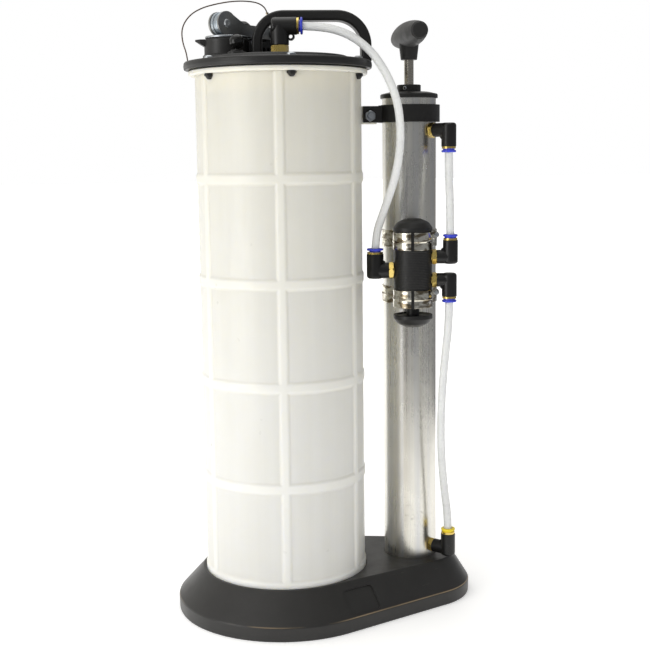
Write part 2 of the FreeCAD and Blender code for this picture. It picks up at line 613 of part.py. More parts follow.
# ---- push-in elbows -----------------------------------------------------------------------------
BODY_L, RING_T, COLLET_GAP, COLLET_T, SEAT = 16.5, 2.0, 1.5, 2.2, 6.0
SMALL, LARGE, LARGEST = (7.4, 6.9), (8.4, 7.9), (8.4, 8.8)   # radii of an elbow's two arms
LID_HEX_T, LID_STANDOFF = 8.0, 1.5    # lid stud's hexagon and the round collar under it


def elbow(corner, port, outlet, radii, port_l, hex_l, thread_l, collar_l=0, eyed=False):
    """Push-in elbow from the point where its bores cross: body, stud, ring and release collet."""
    leg, arm = radii
    corner, port, outlet = V(*corner), V(*port).normalize(), V(*outlet).normalize()
    side = tuple(port.cross(outlet))
    bore = HOSE_R + 2.1
    down = turned([(0, -leg + 0.4), (leg, -leg + 0.4, 3.0), (leg, BODY_L, 0.5), (0, BODY_L)])
    body = [aimed(down, tuple(corner), tuple(outlet)),
            aimed(turned([(0, 0), (arm, 0), (arm, port_l, 0.6), (0, port_l)]), tuple(corner), tuple(port))]
    eye = corner + port * (leg + 1.6) + outlet * (arm + 1.8)
    body.append(cyl(3.0, 4.4, tuple(eye - (port + outlet) * 2.6 - V(*side) * 2.2), side))
    if eyed:
        body.append(cyl(3.8, 5.0, tuple(eye - V(*side) * 2.5), side))
    body = fused(body)
    if eyed:
        body = body.cut(cyl(1.8, 9, tuple(eye - V(*side) * 4.5), side))
    body = body.cut(cyl(HOSE_R + 0.25, BODY_L, tuple(corner + outlet * SEAT), tuple(outlet)))
    body = body.cut(cyl(bore, 10, tuple(corner + outlet * (BODY_L - 6.5)), tuple(outlet)))
    body = body.cut(cyl(2.6, SEAT + 1, tuple(corner), tuple(outlet)))
    body = body.cut(cyl(2.6, port_l + 1, tuple(corner - port * 1.0), tuple(port)))
    body = body.cut(cyl(STUD_R, 10, tuple(corner + port * (port_l - 6)), tuple(port)))
    hexed = hexagon(2 * leg - 1.6, hex_l, tuple(corner + port * port_l), tuple(port))
    shank = cyl(STUD_R, 6 + hex_l + thread_l, tuple(corner + port * (port_l - 6)), tuple(port))
    parts = [hexed, shank]
    if collar_l:
        parts.append(cyl(STUD_R + 0.9, collar_l, tuple(corner + port * (port_l + hex_l)), tuple(port)))
    stud = fused(parts).cut(cyl(2.6, 60, tuple(corner + port * (port_l - 10)), tuple(port)))
    band = ring(leg - 0.5, bore, RING_T, tuple(corner + outlet * BODY_L), tuple(outlet))
    seat = BODY_L + RING_T + COLLET_GAP
    collet = turned([(HOSE_R + 0.3, BODY_L - 4.6), (bore - FREE, BODY_L - 4.6, 0.4), (bore - FREE, seat),
                     (leg - 0.2, seat, 0.5), (leg - 0.2, seat + COLLET_T, 0.9),
                     (HOSE_R + 0.3, seat + COLLET_T, 0.4)])
    return body, stud, band, aimed(collet, tuple(corner), tuple(outlet))


def valve_corner(way, reach, z):
    """Corner of an elbow that leaves the changeover valve sideways."""
    return V(VALVE_X + way * reach * math.cos(VALVE_SIDE), VALVE_Y + way * reach * math.sin(VALVE_SIDE), z)


def toward_valve(way):
    return (-way * math.cos(VALVE_SIDE), -way * math.sin(VALVE_SIDE), 0)


VALVE_FACE = VALVE_R + 0.4
PUMP_REACH = TUBE_R + HEX_T + 17.0
LID_OUT = V(math.cos(math.radians(-15)), math.sin(math.radians(-15)), 0)
INTO_PUMP = tuple(polar(0, 0, -1, PORT_ANGLE))
UP, DOWN = (0, 0, 1), (0, 0, -1)
LEFT_CORNER = valve_corner(-1, VALVE_FACE + HEX_T + 14.0, INLET_Z)
UPPER_CORNER = valve_corner(1, VALVE_FACE + HEX_T + 13.5, UPPER_Z)
LOWER_CORNER = valve_corner(1, VALVE_FACE + HEX_T + 12.5, LOWER_Z)
TOP_CORNER = polar(XP, 0, PUMP_REACH, PORT_ANGLE, PORT_TOP_Z)
BOTTOM_CORNER = polar(XP, 0, PUMP_REACH, PORT_ANGLE, PORT_FOOT_Z)
LID_PORT_L = LID_ELBOW[2] - LID_TOP_Z - LID_STANDOFF - LID_HEX_T
ELBOWS = [
    ("lid", LID_ELBOW, DOWN, LID_OUT, LARGEST, LID_PORT_L, LID_HEX_T, 16.5, LID_STANDOFF, True),
    ("valve_inlet", LEFT_CORNER, toward_valve(-1), UP, LARGE, 14.0, HEX_T, 8.0),
    ("valve_upper", UPPER_CORNER, toward_valve(1), UP, SMALL, 13.5, HEX_T, 8.0),
    ("valve_lower", LOWER_CORNER, toward_valve(1), DOWN, SMALL, 12.5, HEX_T, 8.0),
    ("pump_top", TOP_CORNER, INTO_PUMP, DOWN, SMALL, 17.0, HEX_T, 2.4),
    ("pump_foot", BOTTOM_CORNER, INTO_PUMP, UP, SMALL, 17.0, HEX_T, 9.0)]
bodies, studs, bands = [], [], []
for name, *sizes in ELBOWS:
    body, stud, band, collet = elbow(*sizes)
    bodies.append(body)
    studs.append(stud)
    bands.append(band)
    save(name + "_collet", collet)
save("large_elbows", *bodies[:2])
save("small_elbows", *bodies[2:])
save("elbow_studs", *studs)
save("elbow_rings", *bands)


# ---- pump ---------------------------------------------------------------------------------------
def port_cut(shape, z):
    centre = polar(XP, 0, 5, PORT_ANGLE, z)
    return shape.cut(cyl(STUD_R, 60, tuple(centre), tuple(polar(0, 0, 1, PORT_ANGLE))))


def pump_cylinder():
    tube = ring(TUBE_R, TUBE_R - TUBE_WALL, TUBE_Z1 - TUBE_Z0, (XP, 0, TUBE_Z0))
    return port_cut(port_cut(tube, PORT_TOP_Z), PORT_FOOT_Z)


def pump_bottom_cap():
    inner = TUBE_R - TUBE_WALL
    cap = turned([(0, TUBE_Z0), (inner, TUBE_Z0), (inner, CHAMBER_Z0 - 1, 1), (0, CHAMBER_Z0 - 1)], XP, 0)
    cap = port_cut(cap, PORT_FOOT_Z)
    cap = cap.cut(cyl(2.6, 14, tuple(polar(XP, 0, 0, 0, PORT_FOOT_Z)), tuple(polar(0, 0, 1, PORT_ANGLE))))
    cap = cap.cut(cyl(3.5, 30, (XP, 0, PORT_FOOT_Z - 2)))
    cap = cap.cut(cyl(8.3, 10, (XP, 0, CHAMBER_Z0 - 5)))
    for a in (90, 210, 330):
        spot = polar(XP, 0, FOOT_SCREW_CIRCLE, a)
        cap = cap.cut(cyl(FOOT_SCREW_R, 20, (spot.x, spot.y, 33.2)))
    return cap


def pump_top_cap():
    inner = TUBE_R - TUBE_WALL
    cap = turned([(0, CHAMBER_Z1), (inner, CHAMBER_Z1, 1), (inner, TUBE_Z1), (29.1, TUBE_Z1, 0.6),
                  (29.1, 521.2, 1.6), (20, 523.4, 12), (0, 523.4)], XP, 0)
    return cap.cut(cyl(9.0, 30, (XP, 0, CHAMBER_Z1 - 2)))


def rod_gland():
    """Screwed gland that guides the rod, with a raised two-flat collar."""
    gland = turned([(ROD_R + 0.08, CHAMBER_Z1 + 2), (9.0, CHAMBER_Z1 + 2), (9.0, 523.4), (12.0, 523.4),
                    (12.0, 530.6, 0.8), (ROD_R + 0.08, 530.6, 0.6)], XP, 0)
    gland = gland.cut(cyl(ROD_R + 2.2, 3.2, (XP, 0, 512.4)))
    return gland


def rod_seal():
    return ring(ROD_R + 2.2, ROD_R + 0.06, 3.2, (XP, 0, 512.4))


def piston():
    inner = TUBE_R - TUBE_WALL
    z = PISTON_Z
    body = turned([(ROD_R - 1.5, z), (inner - 0.35, z, 1), (inner - 0.35, z + 5.5), (inner - 3, z + 5.5),
                   (inner - 3, z + 10.5), (inner - 0.35, z + 10.5), (inner - 0.35, z + PISTON_H, 1),
                   (ROD_R - 1.5, z + PISTON_H)], XP, 0)
    for k in range(4):
        body = body.cut(swung(cyl(2.2, 40, (13, 0, z - 5)), XP, 0, 45 + 90 * k))
    return body


def piston_seal():
    inner = TUBE_R - TUBE_WALL
    z = PISTON_Z + 5.5
    return turned([(inner - 3, z), (inner - 0.6, z, 0.6), (inner - 0.05, z + 1.2), (inner - 0.05, z + 3.8),
                   (inner - 0.6, z + 5.0, 0.6), (inner - 3, z + 5.0)], XP, 0)


def pump_rod():
    """Rod with a journal through the piston and a nut below it."""
    z = PISTON_Z
    journal = ROD_R - 1.55
    return fused([cyl(ROD_R, GRIP_Z - 14 - (z + PISTON_H + 0.3), (XP, 0, z + PISTON_H + 0.3)),
                  cyl(journal, PISTON_H + 4, (XP, 0, z - 3)),
                  hexagon(10.0, 4.0, (XP, 0, z - 4.3))])


def pump_grip():
    """T-grip: a barrel with four finger grooves across a tapered neck."""
    half, end_r, mid_r, lip = GRIP_L / 2, 8.6, 13.0, 1.6
    outer = Part.Arc(V(end_r, 0, -half + lip), V(mid_r, 0, 0), V(end_r, 0, half - lip)).toShape()
    edges = [outer, Part.LineSegment(V(end_r, 0, half - lip), V(end_r - lip, 0, half)).toShape(),
             Part.LineSegment(V(end_r - lip, 0, half), V(0, 0, half)).toShape(),
             Part.LineSegment(V(0, 0, half), V(0, 0, -half)).toShape(),
             Part.LineSegment(V(0, 0, -half), V(end_r - lip, 0, -half)).toShape(),
             Part.LineSegment(V(end_r - lip, 0, -half), V(end_r, 0, -half + lip)).toShape()]
    barrel = Part.Face(Part.Wire(edges)).revolve(V(0, 0, 0), V(0, 0, 1), 360)
    for s in (-30, -10, 10, 30):
        radius = end_r + (mid_r - end_r) * (1 - (s / half) ** 2)
        groove = Part.makeTorus(radius + 0.3, 1.6, V(0, 0, s))
        barrel = barrel.cut(groove)
    barrel = aimed(barrel, (XP, 0, GRIP_Z), tuple(polar(0, 0, 1, GRIP_ANGLE)))
    neck = turned([(0, NECK_LOW_Z), (8.2, NECK_LOW_Z, 0.8), (10.2, GRIP_Z - 8), (0, GRIP_Z - 8)], XP, 0)
    grip = fused([barrel, neck])
    return grip.cut(cyl(ROD_R, GRIP_Z - 14 - NECK_LOW_Z + 1, (XP, 0, NECK_LOW_Z - 1)))


def foot_check_disc():
    z = CHAMBER_Z0 - 5 + 0.3
    return turned([(0, z), (7.6, z, 0.3), (7.6, z + 1.4, 0.3), (0, z + 1.4)], XP, 0)


save("pump_cylinder", pump_cylinder())
save("pump_bottom_cap", pump_bottom_cap())
save("pump_top_cap", pump_top_cap())
save("rod_gland", rod_gland())
save("rod_seal", rod_seal())
save("piston", piston())
save("piston_seal", piston_seal())
save("pump_rod", pump_rod())
save("pump_grip", pump_grip())
save("foot_check_disc", foot_check_disc())


# ---- strap between pump and reservoir -----------------------------------------------------------
def pump_strap():
    z, h = STRAP_Z, STRAP_H
    hoop = ring(TUBE_R + STRAP_T, TUBE_R, h, (XP, 0, z))
    hoop = hoop.cut(box(XP - 60, XP, -4, 4, z - 1, z + h + 1))
    tabs = []
    for y in (-7.0, 4.0):
        tab = box(XR + TANK_R + 3.0, XP - TUBE_R - 0.2, y, y + 3.0, z, z + h - 1.0)
        tabs.append(tab)
    strap = fused([hoop] + tabs).cut(cyl(TUBE_R, h + 2, (XP, 0, z - 1)))
    return strap.cut(cyl(3.2, 30, (LUG_X, 15, LUG_Z), (0, -1, 0)))


def strap_fasteners():
    """Bolt through the strap's tabs and the reservoir's lug, and its nut, hexagons point up."""
    back, front = V(LUG_X, 11.0, LUG_Z), V(LUG_X, -7.0, LUG_Z)
    head = hexagon(9.6, 4.0, tuple(back), (0, -1, 0))
    nut = hexagon(9.6, 4.6, tuple(front), (0, -1, 0), 3.0)
    nut = nut.cut(cyl(3.9, 3.0, tuple(front - V(0, 3.0, 0)), (0, -1, 0)))
    for piece, centre in ((head, back), (nut, front)):
        piece.rotate(centre, V(0, 1, 0), 30)
    return fused([head, cyl(3.0, 24.5, tuple(back), (0, -1, 0))]), nut


save("pump_strap", pump_strap())
save("strap_fasteners", *strap_fasteners())

# ---- changeover valve ---------------------------------------------------------------------------
BAND_H, BAND_T, BEAD = 17.4, 1.2, 0.7
BAND_GAP, BAND_GAP_ANGLE = 3.0, -108.0
VALVE_Z0, VALVE_Z1 = VALVE_Z - VALVE_H / 2, VALVE_Z + VALVE_H / 2
SPOOL_R = 7.4
FRONT = polar(0, 0, 1, math.degrees(VALVE_SIDE) - 90)
SIDEWAYS = valve_corner(1, 1, 0) - valve_corner(1, 0, 0)
EAR_REACH, EAR_R, EAR_T, EAR_PLACES = VALVE_R + 4.6, 2.7, 1.2, (-4.0, 2.8)
EAR_Z = BAND_H - EAR_R - 0.1          # the ears' middle above the band's lower edge
CLAMP_SCREW_R = 1.4


def valve_body():
    body = turned([(0, VALVE_Z0), (VALVE_R, VALVE_Z0, 0.8), (VALVE_R, VALVE_Z0 + BAND_H + 0.8),
                   (VALVE_FACE, VALVE_Z0 + BAND_H + 0.8), (VALVE_FACE, VALVE_Z1 - BAND_H - 0.8),
                   (VALVE_R, VALVE_Z1 - BAND_H - 0.8), (VALVE_R, VALVE_Z1, 0.8), (0, VALVE_Z1)],
                  VALVE_X, VALVE_Y)
    body = body.cut(cyl(SPOOL_R + 0.06, VALVE_H + 2, (VALVE_X, VALVE_Y, VALVE_Z0 - 1)))
    for way, z in ((-1, INLET_Z), (1, UPPER_Z), (1, LOWER_Z)):
        far = valve_corner(way, VALVE_FACE + 2, z)
        body = body.cut(cyl(STUD_R, 10.2, tuple(far), toward_valve(way)))
        body = body.cut(cyl(2.6, VALVE_FACE, tuple(far), toward_valve(way)))
    return body


def valve_spool():
    top = VALVE_Z1 + 6.0
    low = VALVE_Z0 - SPOOL_STROKE - 6.0
    shoulder = VALVE_Z0 - SPOOL_STROKE - 1.0
    spool = turned([(0, low), (5.0, low), (5.0, shoulder), (6.4, shoulder), (6.4, VALVE_Z0 + 6),
                    (SPOOL_R, VALVE_Z0 + 6), (SPOOL_R, VALVE_Z1 - 12), (6.4, VALVE_Z1 - 12),
                    (6.4, VALVE_Z1 - 1), (5.0, VALVE_Z1 - 1), (5.0, top), (0, top)], VALVE_X, VALVE_Y)
    for z in SEAL_Z:
        spool = spool.cut(ring(SPOOL_R + 1, SPOOL_R - 1.6, 2.4, (VALVE_X, VALVE_Y, z)))
    for z in (VALVE_Z - 9.5, VALVE_Z + 2.5):
        spool = spool.cut(ring(SPOOL_R + 1, 4.0, 7.0, (VALVE_X, VALVE_Y, z)))
    return spool


SEAL_Z = [VALVE_Z0 + 9, VALVE_Z - 14, VALVE_Z - 1.8, VALVE_Z + 11, VALVE_Z1 - 16]


def valve_button(z, way):
    """Domed push button, hollow on the side towards the valve."""
    points = [(5.0, 1.0), (15.0, 1.0, 1.5), (17.6, -0.2, 0.5), (19.4, -0.2, 0.6), (19.4, 3.6, 1.2),
              (15.5, 8.9, 7), (7.5, 12.4, 11), (0, 12.8), (0, 6.0), (5.0, 6.0)]
    return turned([(r, z + way * h) + tuple(rest) for r, h, *rest in points], VALVE_X, VALVE_Y)


def beaded_band(r0, x, y, z):
    """Sheet-metal band with a rolled bead round its middle."""
    r1, middle = r0 + BAND_T, z + BAND_H / 2
    return turned([(r0, z), (r1, z, 0.4), (r1, z + BAND_H * 0.42, 0.6), (r1 + BEAD, middle, 0.6),
                   (r1, z + BAND_H * 0.58, 0.6), (r1, z + BAND_H, 0.4), (r0, z + BAND_H)], x, y)


def valve_clamp(z):
    """Band round the valve, with a gap in front and two screw ears at the side."""
    band = beaded_band(VALVE_R, VALVE_X, VALVE_Y, z)
    gap = box(0, 40, -BAND_GAP / 2, BAND_GAP / 2, z - 1, z + BAND_H + 1)
    gap = swung(gap, VALVE_X, VALVE_Y, BAND_GAP_ANGLE)
    band = band.cut(gap)
    spot = valve_corner(1, EAR_REACH, z + EAR_Z)
    root = valve_corner(1, VALVE_R + 0.4, z + EAR_Z)
    reach = EAR_REACH - VALVE_R - 0.4
    for s in EAR_PLACES:
        ear = cyl(EAR_R, EAR_T, tuple(spot + FRONT * s), tuple(FRONT))
        arm = Part.Face(loop([(0, -EAR_R), (reach, -EAR_R), (reach, EAR_R), (0, EAR_R)],
                             lambda p: root + FRONT * s + SIDEWAYS * p.x + V(0, 0, p.y)))
        band = fused([band, ear, arm.extrude(FRONT * EAR_T)])
    band = band.cut(cyl(VALVE_R, BAND_H + 2, (VALVE_X, VALVE_Y, z - 1)))
    return band.cut(cyl(CLAMP_SCREW_R, 20, tuple(spot - FRONT * 10), tuple(FRONT)))


def clamp_screw(z):
    """Screw and nut that draw a band's ears together."""
    spot = valve_corner(1, EAR_REACH, z + EAR_Z)
    front = EAR_PLACES[1] + EAR_T
    shank = cyl(CLAMP_SCREW_R, 13.4, tuple(spot - FRONT * 6.8), tuple(FRONT))
    head = aimed(turned([(0, 0), (2.4, 0), (2.4, 1.4, 0.4), (1.9, 2.0, 0.4), (0, 2.0)]),
                 tuple(spot + FRONT * front), tuple(FRONT))
    head = head.cut(hexagon(1.8, 2, tuple(spot + FRONT * (front + 0.9)), tuple(FRONT)))
    nut = hexagon(4.6, 2.4, tuple(spot + FRONT * EAR_PLACES[0]), tuple(-FRONT))
    return fused([shank, head, nut])


def valve_saddle(z):
    """Band round the pump tube with the curved seat that the valve's band sits against."""
    block = box(TUBE_R - 6, VALVE_GAP - VALVE_R + 6, -14, 14, z + 1, z + BAND_H - 1)
    block = swung(block, XP, 0, VALVE_ANGLE).cut(cyl(TUBE_R, 40, (XP, 0, z - 10)))
    saddle = fused([beaded_band(TUBE_R, XP, 0, z), block])
    saddle = saddle.cut(cyl(VALVE_R + BAND_T + BEAD, 40, (VALVE_X, VALVE_Y, z - 10)))
    return max(saddle.Solids, key=lambda solid: solid.Volume)


CLAMP_Z = (VALVE_Z0 + 0.3, VALVE_Z1 - 0.3 - BAND_H)
save("valve_body", valve_body())
save("valve_spool", valve_spool())
save("spool_seals", *[ring(SPOOL_R, SPOOL_R - 1.6, 2.4, (VALVE_X, VALVE_Y, z)) for z in SEAL_Z])
save("valve_buttons", valve_button(VALVE_Z1 + 0.5, 1), valve_button(VALVE_Z0 - 0.5 - SPOOL_STROKE, -1))
save("valve_clamps", *[valve_clamp(z) for z in CLAMP_Z])
save("clamp_screws", *[clamp_screw(z) for z in CLAMP_Z])
save("valve_saddles", *[valve_saddle(z) for z in CLAMP_Z])


# ---- hoses and lanyard --------------------------------------------------------------------------
def start_in(corner, outlet, length):
    return tuple(V(*corner) + V(*outlet).normalize() * length)


RESERVOIR_HOSE = [
    start_in(LID_ELBOW, LID_OUT, SEAT), start_in(LID_ELBOW, LID_OUT, 36),
    (XR + 59.0, -43.0, 577.5), (XR + 81.1, -47.0, 561.5), (XR + 96.4, -48.5, 540.0),
    (XR + 107.3, -49.0, 515.0), (XR + 111.2, -48.5, 488.0), (XR + 110.5, -47.0, 461.0),
    (XR + 105.0, -44.0, 433.0), (XR + 96.0, -40.0, 406.0),
    start_in(LEFT_CORNER, UP, 34), start_in(LEFT_CORNER, UP, SEAT)]
UPPER_HOSE = [
    start_in(TOP_CORNER, DOWN, SEAT), start_in(TOP_CORNER, DOWN, 35),
    start_in(UPPER_CORNER, UP, 35), start_in(UPPER_CORNER, UP, SEAT)]
LOWER_HOSE = [
    start_in(LOWER_CORNER, DOWN, SEAT), start_in(LOWER_CORNER, DOWN, 42),
    tuple(LOWER_CORNER + V(-4.0, 2.0, -80)), tuple(LOWER_CORNER + V(-6.5, 5.0, -125)),
    tuple(LOWER_CORNER + V(-5.5, 9.5, -170)), tuple(LOWER_CORNER + V(-0.5, 15.0, -213)),
    start_in(BOTTOM_CORNER, UP, 34), start_in(BOTTOM_CORNER, UP, SEAT)]
cord("reservoir_hose", RESERVOIR_HOSE, HOSE_R)
cord("upper_pump_hose", UPPER_HOSE, HOSE_R)
cord("lower_pump_hose", LOWER_HOSE, HOSE_R)


# ---- lanyard that ties the port's neck to the lid's rim ------------------------------------------
WX, WY = WIRE_HOLE.x, WIRE_HOLE.y
CRIMP_TOP, CRIMP_LOW = V(WX + 86.0, WY + 36.7, 610.0), V(WX + 87.8, WY + 37.1, 599.9)
LANYARD = [
    (WX, WY, LID_RIM_Z - 5.0), (WX - 1.0, WY + 0.3, 561.0), (WX - 5.2, WY + 1.5, 573.0),
    (WX - 5.4, WY + 3.4, 587.0), (WX + 2.8, WY + 6.0, 599.4), (WX + 15.8, WY + 9.6, 607.2),
    (WX + 33.0, WY + 14.0, 612.2), (WX + 49.0, WY + 18.0, 615.2), (WX + 64.7, WY + 24.9, 616.4),
    (WX + 78.2, WY + 31.8, 615.3), tuple(CRIMP_TOP), tuple(CRIMP_LOW), (WX + 77.2, WY + 32.4, 592.7),
    (WIRE_END.x + 0.8, WIRE_END.y, 582.1), (WIRE_END.x, WIRE_END.y, 569.0), tuple(WIRE_END)]
cord("lanyard_wire", LANYARD, WIRE_R)
CRIMP = (CRIMP_LOW - CRIMP_TOP).normalize()
save("lanyard_ferrule", ring(1.5, WIRE_R, 4.4, tuple(CRIMP_TOP + CRIMP * 3.2), tuple(CRIMP)))
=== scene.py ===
import math

import bmesh
import bpy
from mathutils import Matrix, Vector


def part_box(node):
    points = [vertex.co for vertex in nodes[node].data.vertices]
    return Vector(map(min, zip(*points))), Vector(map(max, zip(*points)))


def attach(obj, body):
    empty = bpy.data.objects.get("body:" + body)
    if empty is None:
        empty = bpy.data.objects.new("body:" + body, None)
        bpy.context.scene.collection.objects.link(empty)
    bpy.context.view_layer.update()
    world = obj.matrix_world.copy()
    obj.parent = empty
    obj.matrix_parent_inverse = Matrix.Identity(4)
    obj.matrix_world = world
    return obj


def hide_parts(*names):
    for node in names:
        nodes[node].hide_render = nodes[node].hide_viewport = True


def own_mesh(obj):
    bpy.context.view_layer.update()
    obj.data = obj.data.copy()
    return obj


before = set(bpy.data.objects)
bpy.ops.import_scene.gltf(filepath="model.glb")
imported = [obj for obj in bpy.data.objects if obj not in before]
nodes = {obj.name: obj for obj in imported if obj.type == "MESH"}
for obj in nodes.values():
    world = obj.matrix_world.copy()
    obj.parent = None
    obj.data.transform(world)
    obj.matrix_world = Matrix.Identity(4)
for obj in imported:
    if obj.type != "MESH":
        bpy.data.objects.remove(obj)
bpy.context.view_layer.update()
scene = bpy.context.scene


def middle(node):
    """Middle of a CAD node's box."""
    low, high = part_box(node)
    return (low + high) / 2


TANK = middle("lid")            # a point on the reservoir's axis
PUMP = middle("pump_cylinder")  # a point on the pump's axis
VALVE = middle("valve_body")


# ---- camera, light and floor --------------------------------------------------------------------
def make_camera():
    """Stands in front, to the left of the reservoir, and looks a little down and to the right."""
    data = bpy.data.cameras.new("camera")
    data.sensor_width = 36.0
    data.lens = 65.74
    data.clip_start, data.clip_end = 0.05, 100.0
    camera = bpy.data.objects.new("camera", data)
    pan, tilt, roll = math.radians(-13.25), math.radians(81.84), math.radians(-0.73)
    turn = Matrix.Rotation(pan, 4, "Z") @ Matrix.Rotation(tilt, 4, "X") @ Matrix.Rotation(roll, 4, "Z")
    camera.matrix_world = Matrix.Translation((-0.27375, -1.1708, 0.4617)) @ turn
    scene.collection.objects.link(camera)
    scene.camera = camera


def soft_box(name, place, target, size, watts, in_reflections=True):
    """Rectangular lamp aimed at target; it can be kept out of reflections."""
    data = bpy.data.lights.new(name, "AREA")
    data.shape = "RECTANGLE"
    data.size, data.size_y = size
    data.energy = watts
    lamp = bpy.data.objects.new(name, data)
    lamp.location = place
    lamp.rotation_euler = (Vector(target) - Vector(place)).to_track_quat("-Z", "Y").to_euler()
    lamp.visible_glossy = in_reflections
    scene.collection.objects.link(lamp)


def make_world():
    """White to the eye; for light and reflections, bright on the left, behind and above, and dim
    on the right and in front, so that metal and glossy plastic have something to reflect."""
    world = bpy.data.worlds.new("studio")
    scene.world = world
    world.use_nodes = True
    tree = world.node_tree
    tree.nodes.clear()
    place = tree.nodes.new("ShaderNodeTexCoord")
    toward = tree.nodes.new("ShaderNodeVectorMath")
    toward.operation = "DOT_PRODUCT"
    toward.inputs[1].default_value = (-0.75, 0.45, 0.48)
    share = tree.nodes.new("ShaderNodeMapRange")
    share.inputs["From Min"].default_value = -1
    ramp = tree.nodes.new("ShaderNodeValToRGB")
    stops = [(0.0, 0.20), (0.14, 0.30), (0.40, 0.26), (0.55, 0.48), (0.75, 0.92), (1.0, 1.0)]
    while len(ramp.color_ramp.elements) < len(stops):
        ramp.color_ramp.elements.new(0.5)
    for element, (position, value) in zip(ramp.color_ramp.elements, stops):
        element.position = position
        element.color = (value, value * 0.985, value * 0.945, 1)
    studio = tree.nodes.new("ShaderNodeBackground")
    studio.inputs["Strength"].default_value = 0.82
    white = tree.nodes.new("ShaderNodeBackground")
    white.inputs["Color"].default_value = (1, 1, 1, 1)
    seen = tree.nodes.new("ShaderNodeLightPath")
    mix = tree.nodes.new("ShaderNodeMixShader")
    out = tree.nodes.new("ShaderNodeOutputWorld")
    link = tree.links.new
    link(place.outputs["Generated"], toward.inputs[0])
    link(toward.outputs["Value"], share.inputs["Value"])
    link(share.outputs["Result"], ramp.inputs["Fac"])
    link(ramp.outputs["Color"], studio.inputs["Color"])
    link(seen.outputs["Is Camera Ray"], mix.inputs["Fac"])
    link(studio.outputs["Background"], mix.inputs[1])
    link(white.outputs["Background"], mix.inputs[2])
    link(mix.outputs["Shader"], out.inputs["Surface"])


make_camera()
make_world()
soft_box("key", (-1.3, -1.3, 0.7), (TANK.x, 0, 0.25), (1.1, 1.3), 7.2, in_reflections=False)
soft_box("right_fill", (1.1, -1.3, 0.25), (0, 0, 0.15), (1.2, 0.8), 4.0, in_reflections=False)
soft_box("flash", (-0.6, -1.2, 1.3), (TANK.x, 0, 0.2), (0.4, 0.3), 1.7)
soft_box("left_strip", (-1.2, -0.5, 0.5), (TANK.x, 0, 0.3), (0.5, 1.2), 4.8)
soft_box("right_strip", (1.2, -0.35, 0.6), (PUMP.x, 0, 0.3), (0.10, 1.2), 0.25)
soft_box("top", (0.0, 0.3, 1.9), (0, 0, 0.3), (1.4, 1.4), 7)
scene.view_settings.view_transform = "Standard"


# ---- cords --------------------------------------------------------------------------------------
RESERVOIR_HOSE = [
    (-0.03895, -0.02555, 0.58450), (-0.00998, -0.03332, 0.58450), (0.01665, -0.04300, 0.57750),
    (0.03875, -0.04700, 0.56150), (0.05405, -0.04850, 0.54000), (0.06495, -0.04900, 0.51500),
    (0.06885, -0.04850, 0.48800), (0.06815, -0.04700, 0.46100), (0.06265, -0.04400, 0.43300),
    (0.05365, -0.04000, 0.40600), (0.04556, -0.03575, 0.38100), (0.04556, -0.03575, 0.35300)]
UPPER_HOSE = [
    (0.12142, -0.03901, 0.47880), (0.12142, -0.03901, 0.44980),
    (0.11661, -0.05815, 0.39540), (0.11661, -0.05815, 0.36640)]
LOWER_HOSE = [
    (0.11565, -0.05785, 0.33140), (0.11565, -0.05785, 0.29540), (0.11165, -0.05585, 0.25740),
    (0.10915, -0.05285, 0.21240), (0.11015, -0.04835, 0.16740), (0.11515, -0.04285, 0.12440),
    (0.12142, -0.03901, 0.08800), (0.12142, -0.03901, 0.06000)]
LANYARD = [
    (-0.12774, 0.02208, 0.54760), (-0.12874, 0.02238, 0.56100), (-0.13294, 0.02358, 0.57300),
    (-0.13314, 0.02548, 0.58700), (-0.12494, 0.02808, 0.59940), (-0.11194, 0.03168, 0.60720),
    (-0.09474, 0.03608, 0.61220), (-0.07874, 0.04008, 0.61520), (-0.06304, 0.04698, 0.61640),
    (-0.04954, 0.05388, 0.61530), (-0.04174, 0.05878, 0.61000), (-0.03994, 0.05918, 0.59990),
    (-0.05054, 0.05448, 0.59270), (-0.05672, 0.04800, 0.58210), (-0.05752, 0.04800, 0.56900),
    (-0.05752, 0.04800, 0.55900)]


def cord(name, points, radius, node):
    """Round hose or wire on one smooth line, standing for the CAD node of the same route."""
    data = bpy.data.curves.new(name, "CURVE")
    data.dimensions = "3D"
    spline = data.splines.new("NURBS")
    spline.points.add(len(points) - 1)
    for point, place in zip(spline.points, points):
        point.co = (*place, 1)
        point.radius = radius
    spline.order_u = 3
    spline.use_endpoint_u = True
    spline.resolution_u = 24
    data.bevel_depth = 1.0    # each point's radius is the real one
    data.bevel_resolution = 10
    data.use_fill_caps = True
    piece = bpy.data.objects.new(name, data)
    scene.collection.objects.link(piece)
    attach(piece, "base")
    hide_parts(node)
    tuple(points[0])
    return piece


HOSE_R, WIRE_R = 0.004, 0.00065
hoses = [
    cord("hose_to_reservoir", RESERVOIR_HOSE, HOSE_R, "reservoir_hose"),
    cord("hose_to_pump_top", UPPER_HOSE, HOSE_R, "upper_pump_hose"),
    cord("hose_to_pump_foot", LOWER_HOSE, HOSE_R, "lower_pump_hose")]
lanyard = cord("lanyard", LANYARD, WIRE_R, "lanyard_wire")


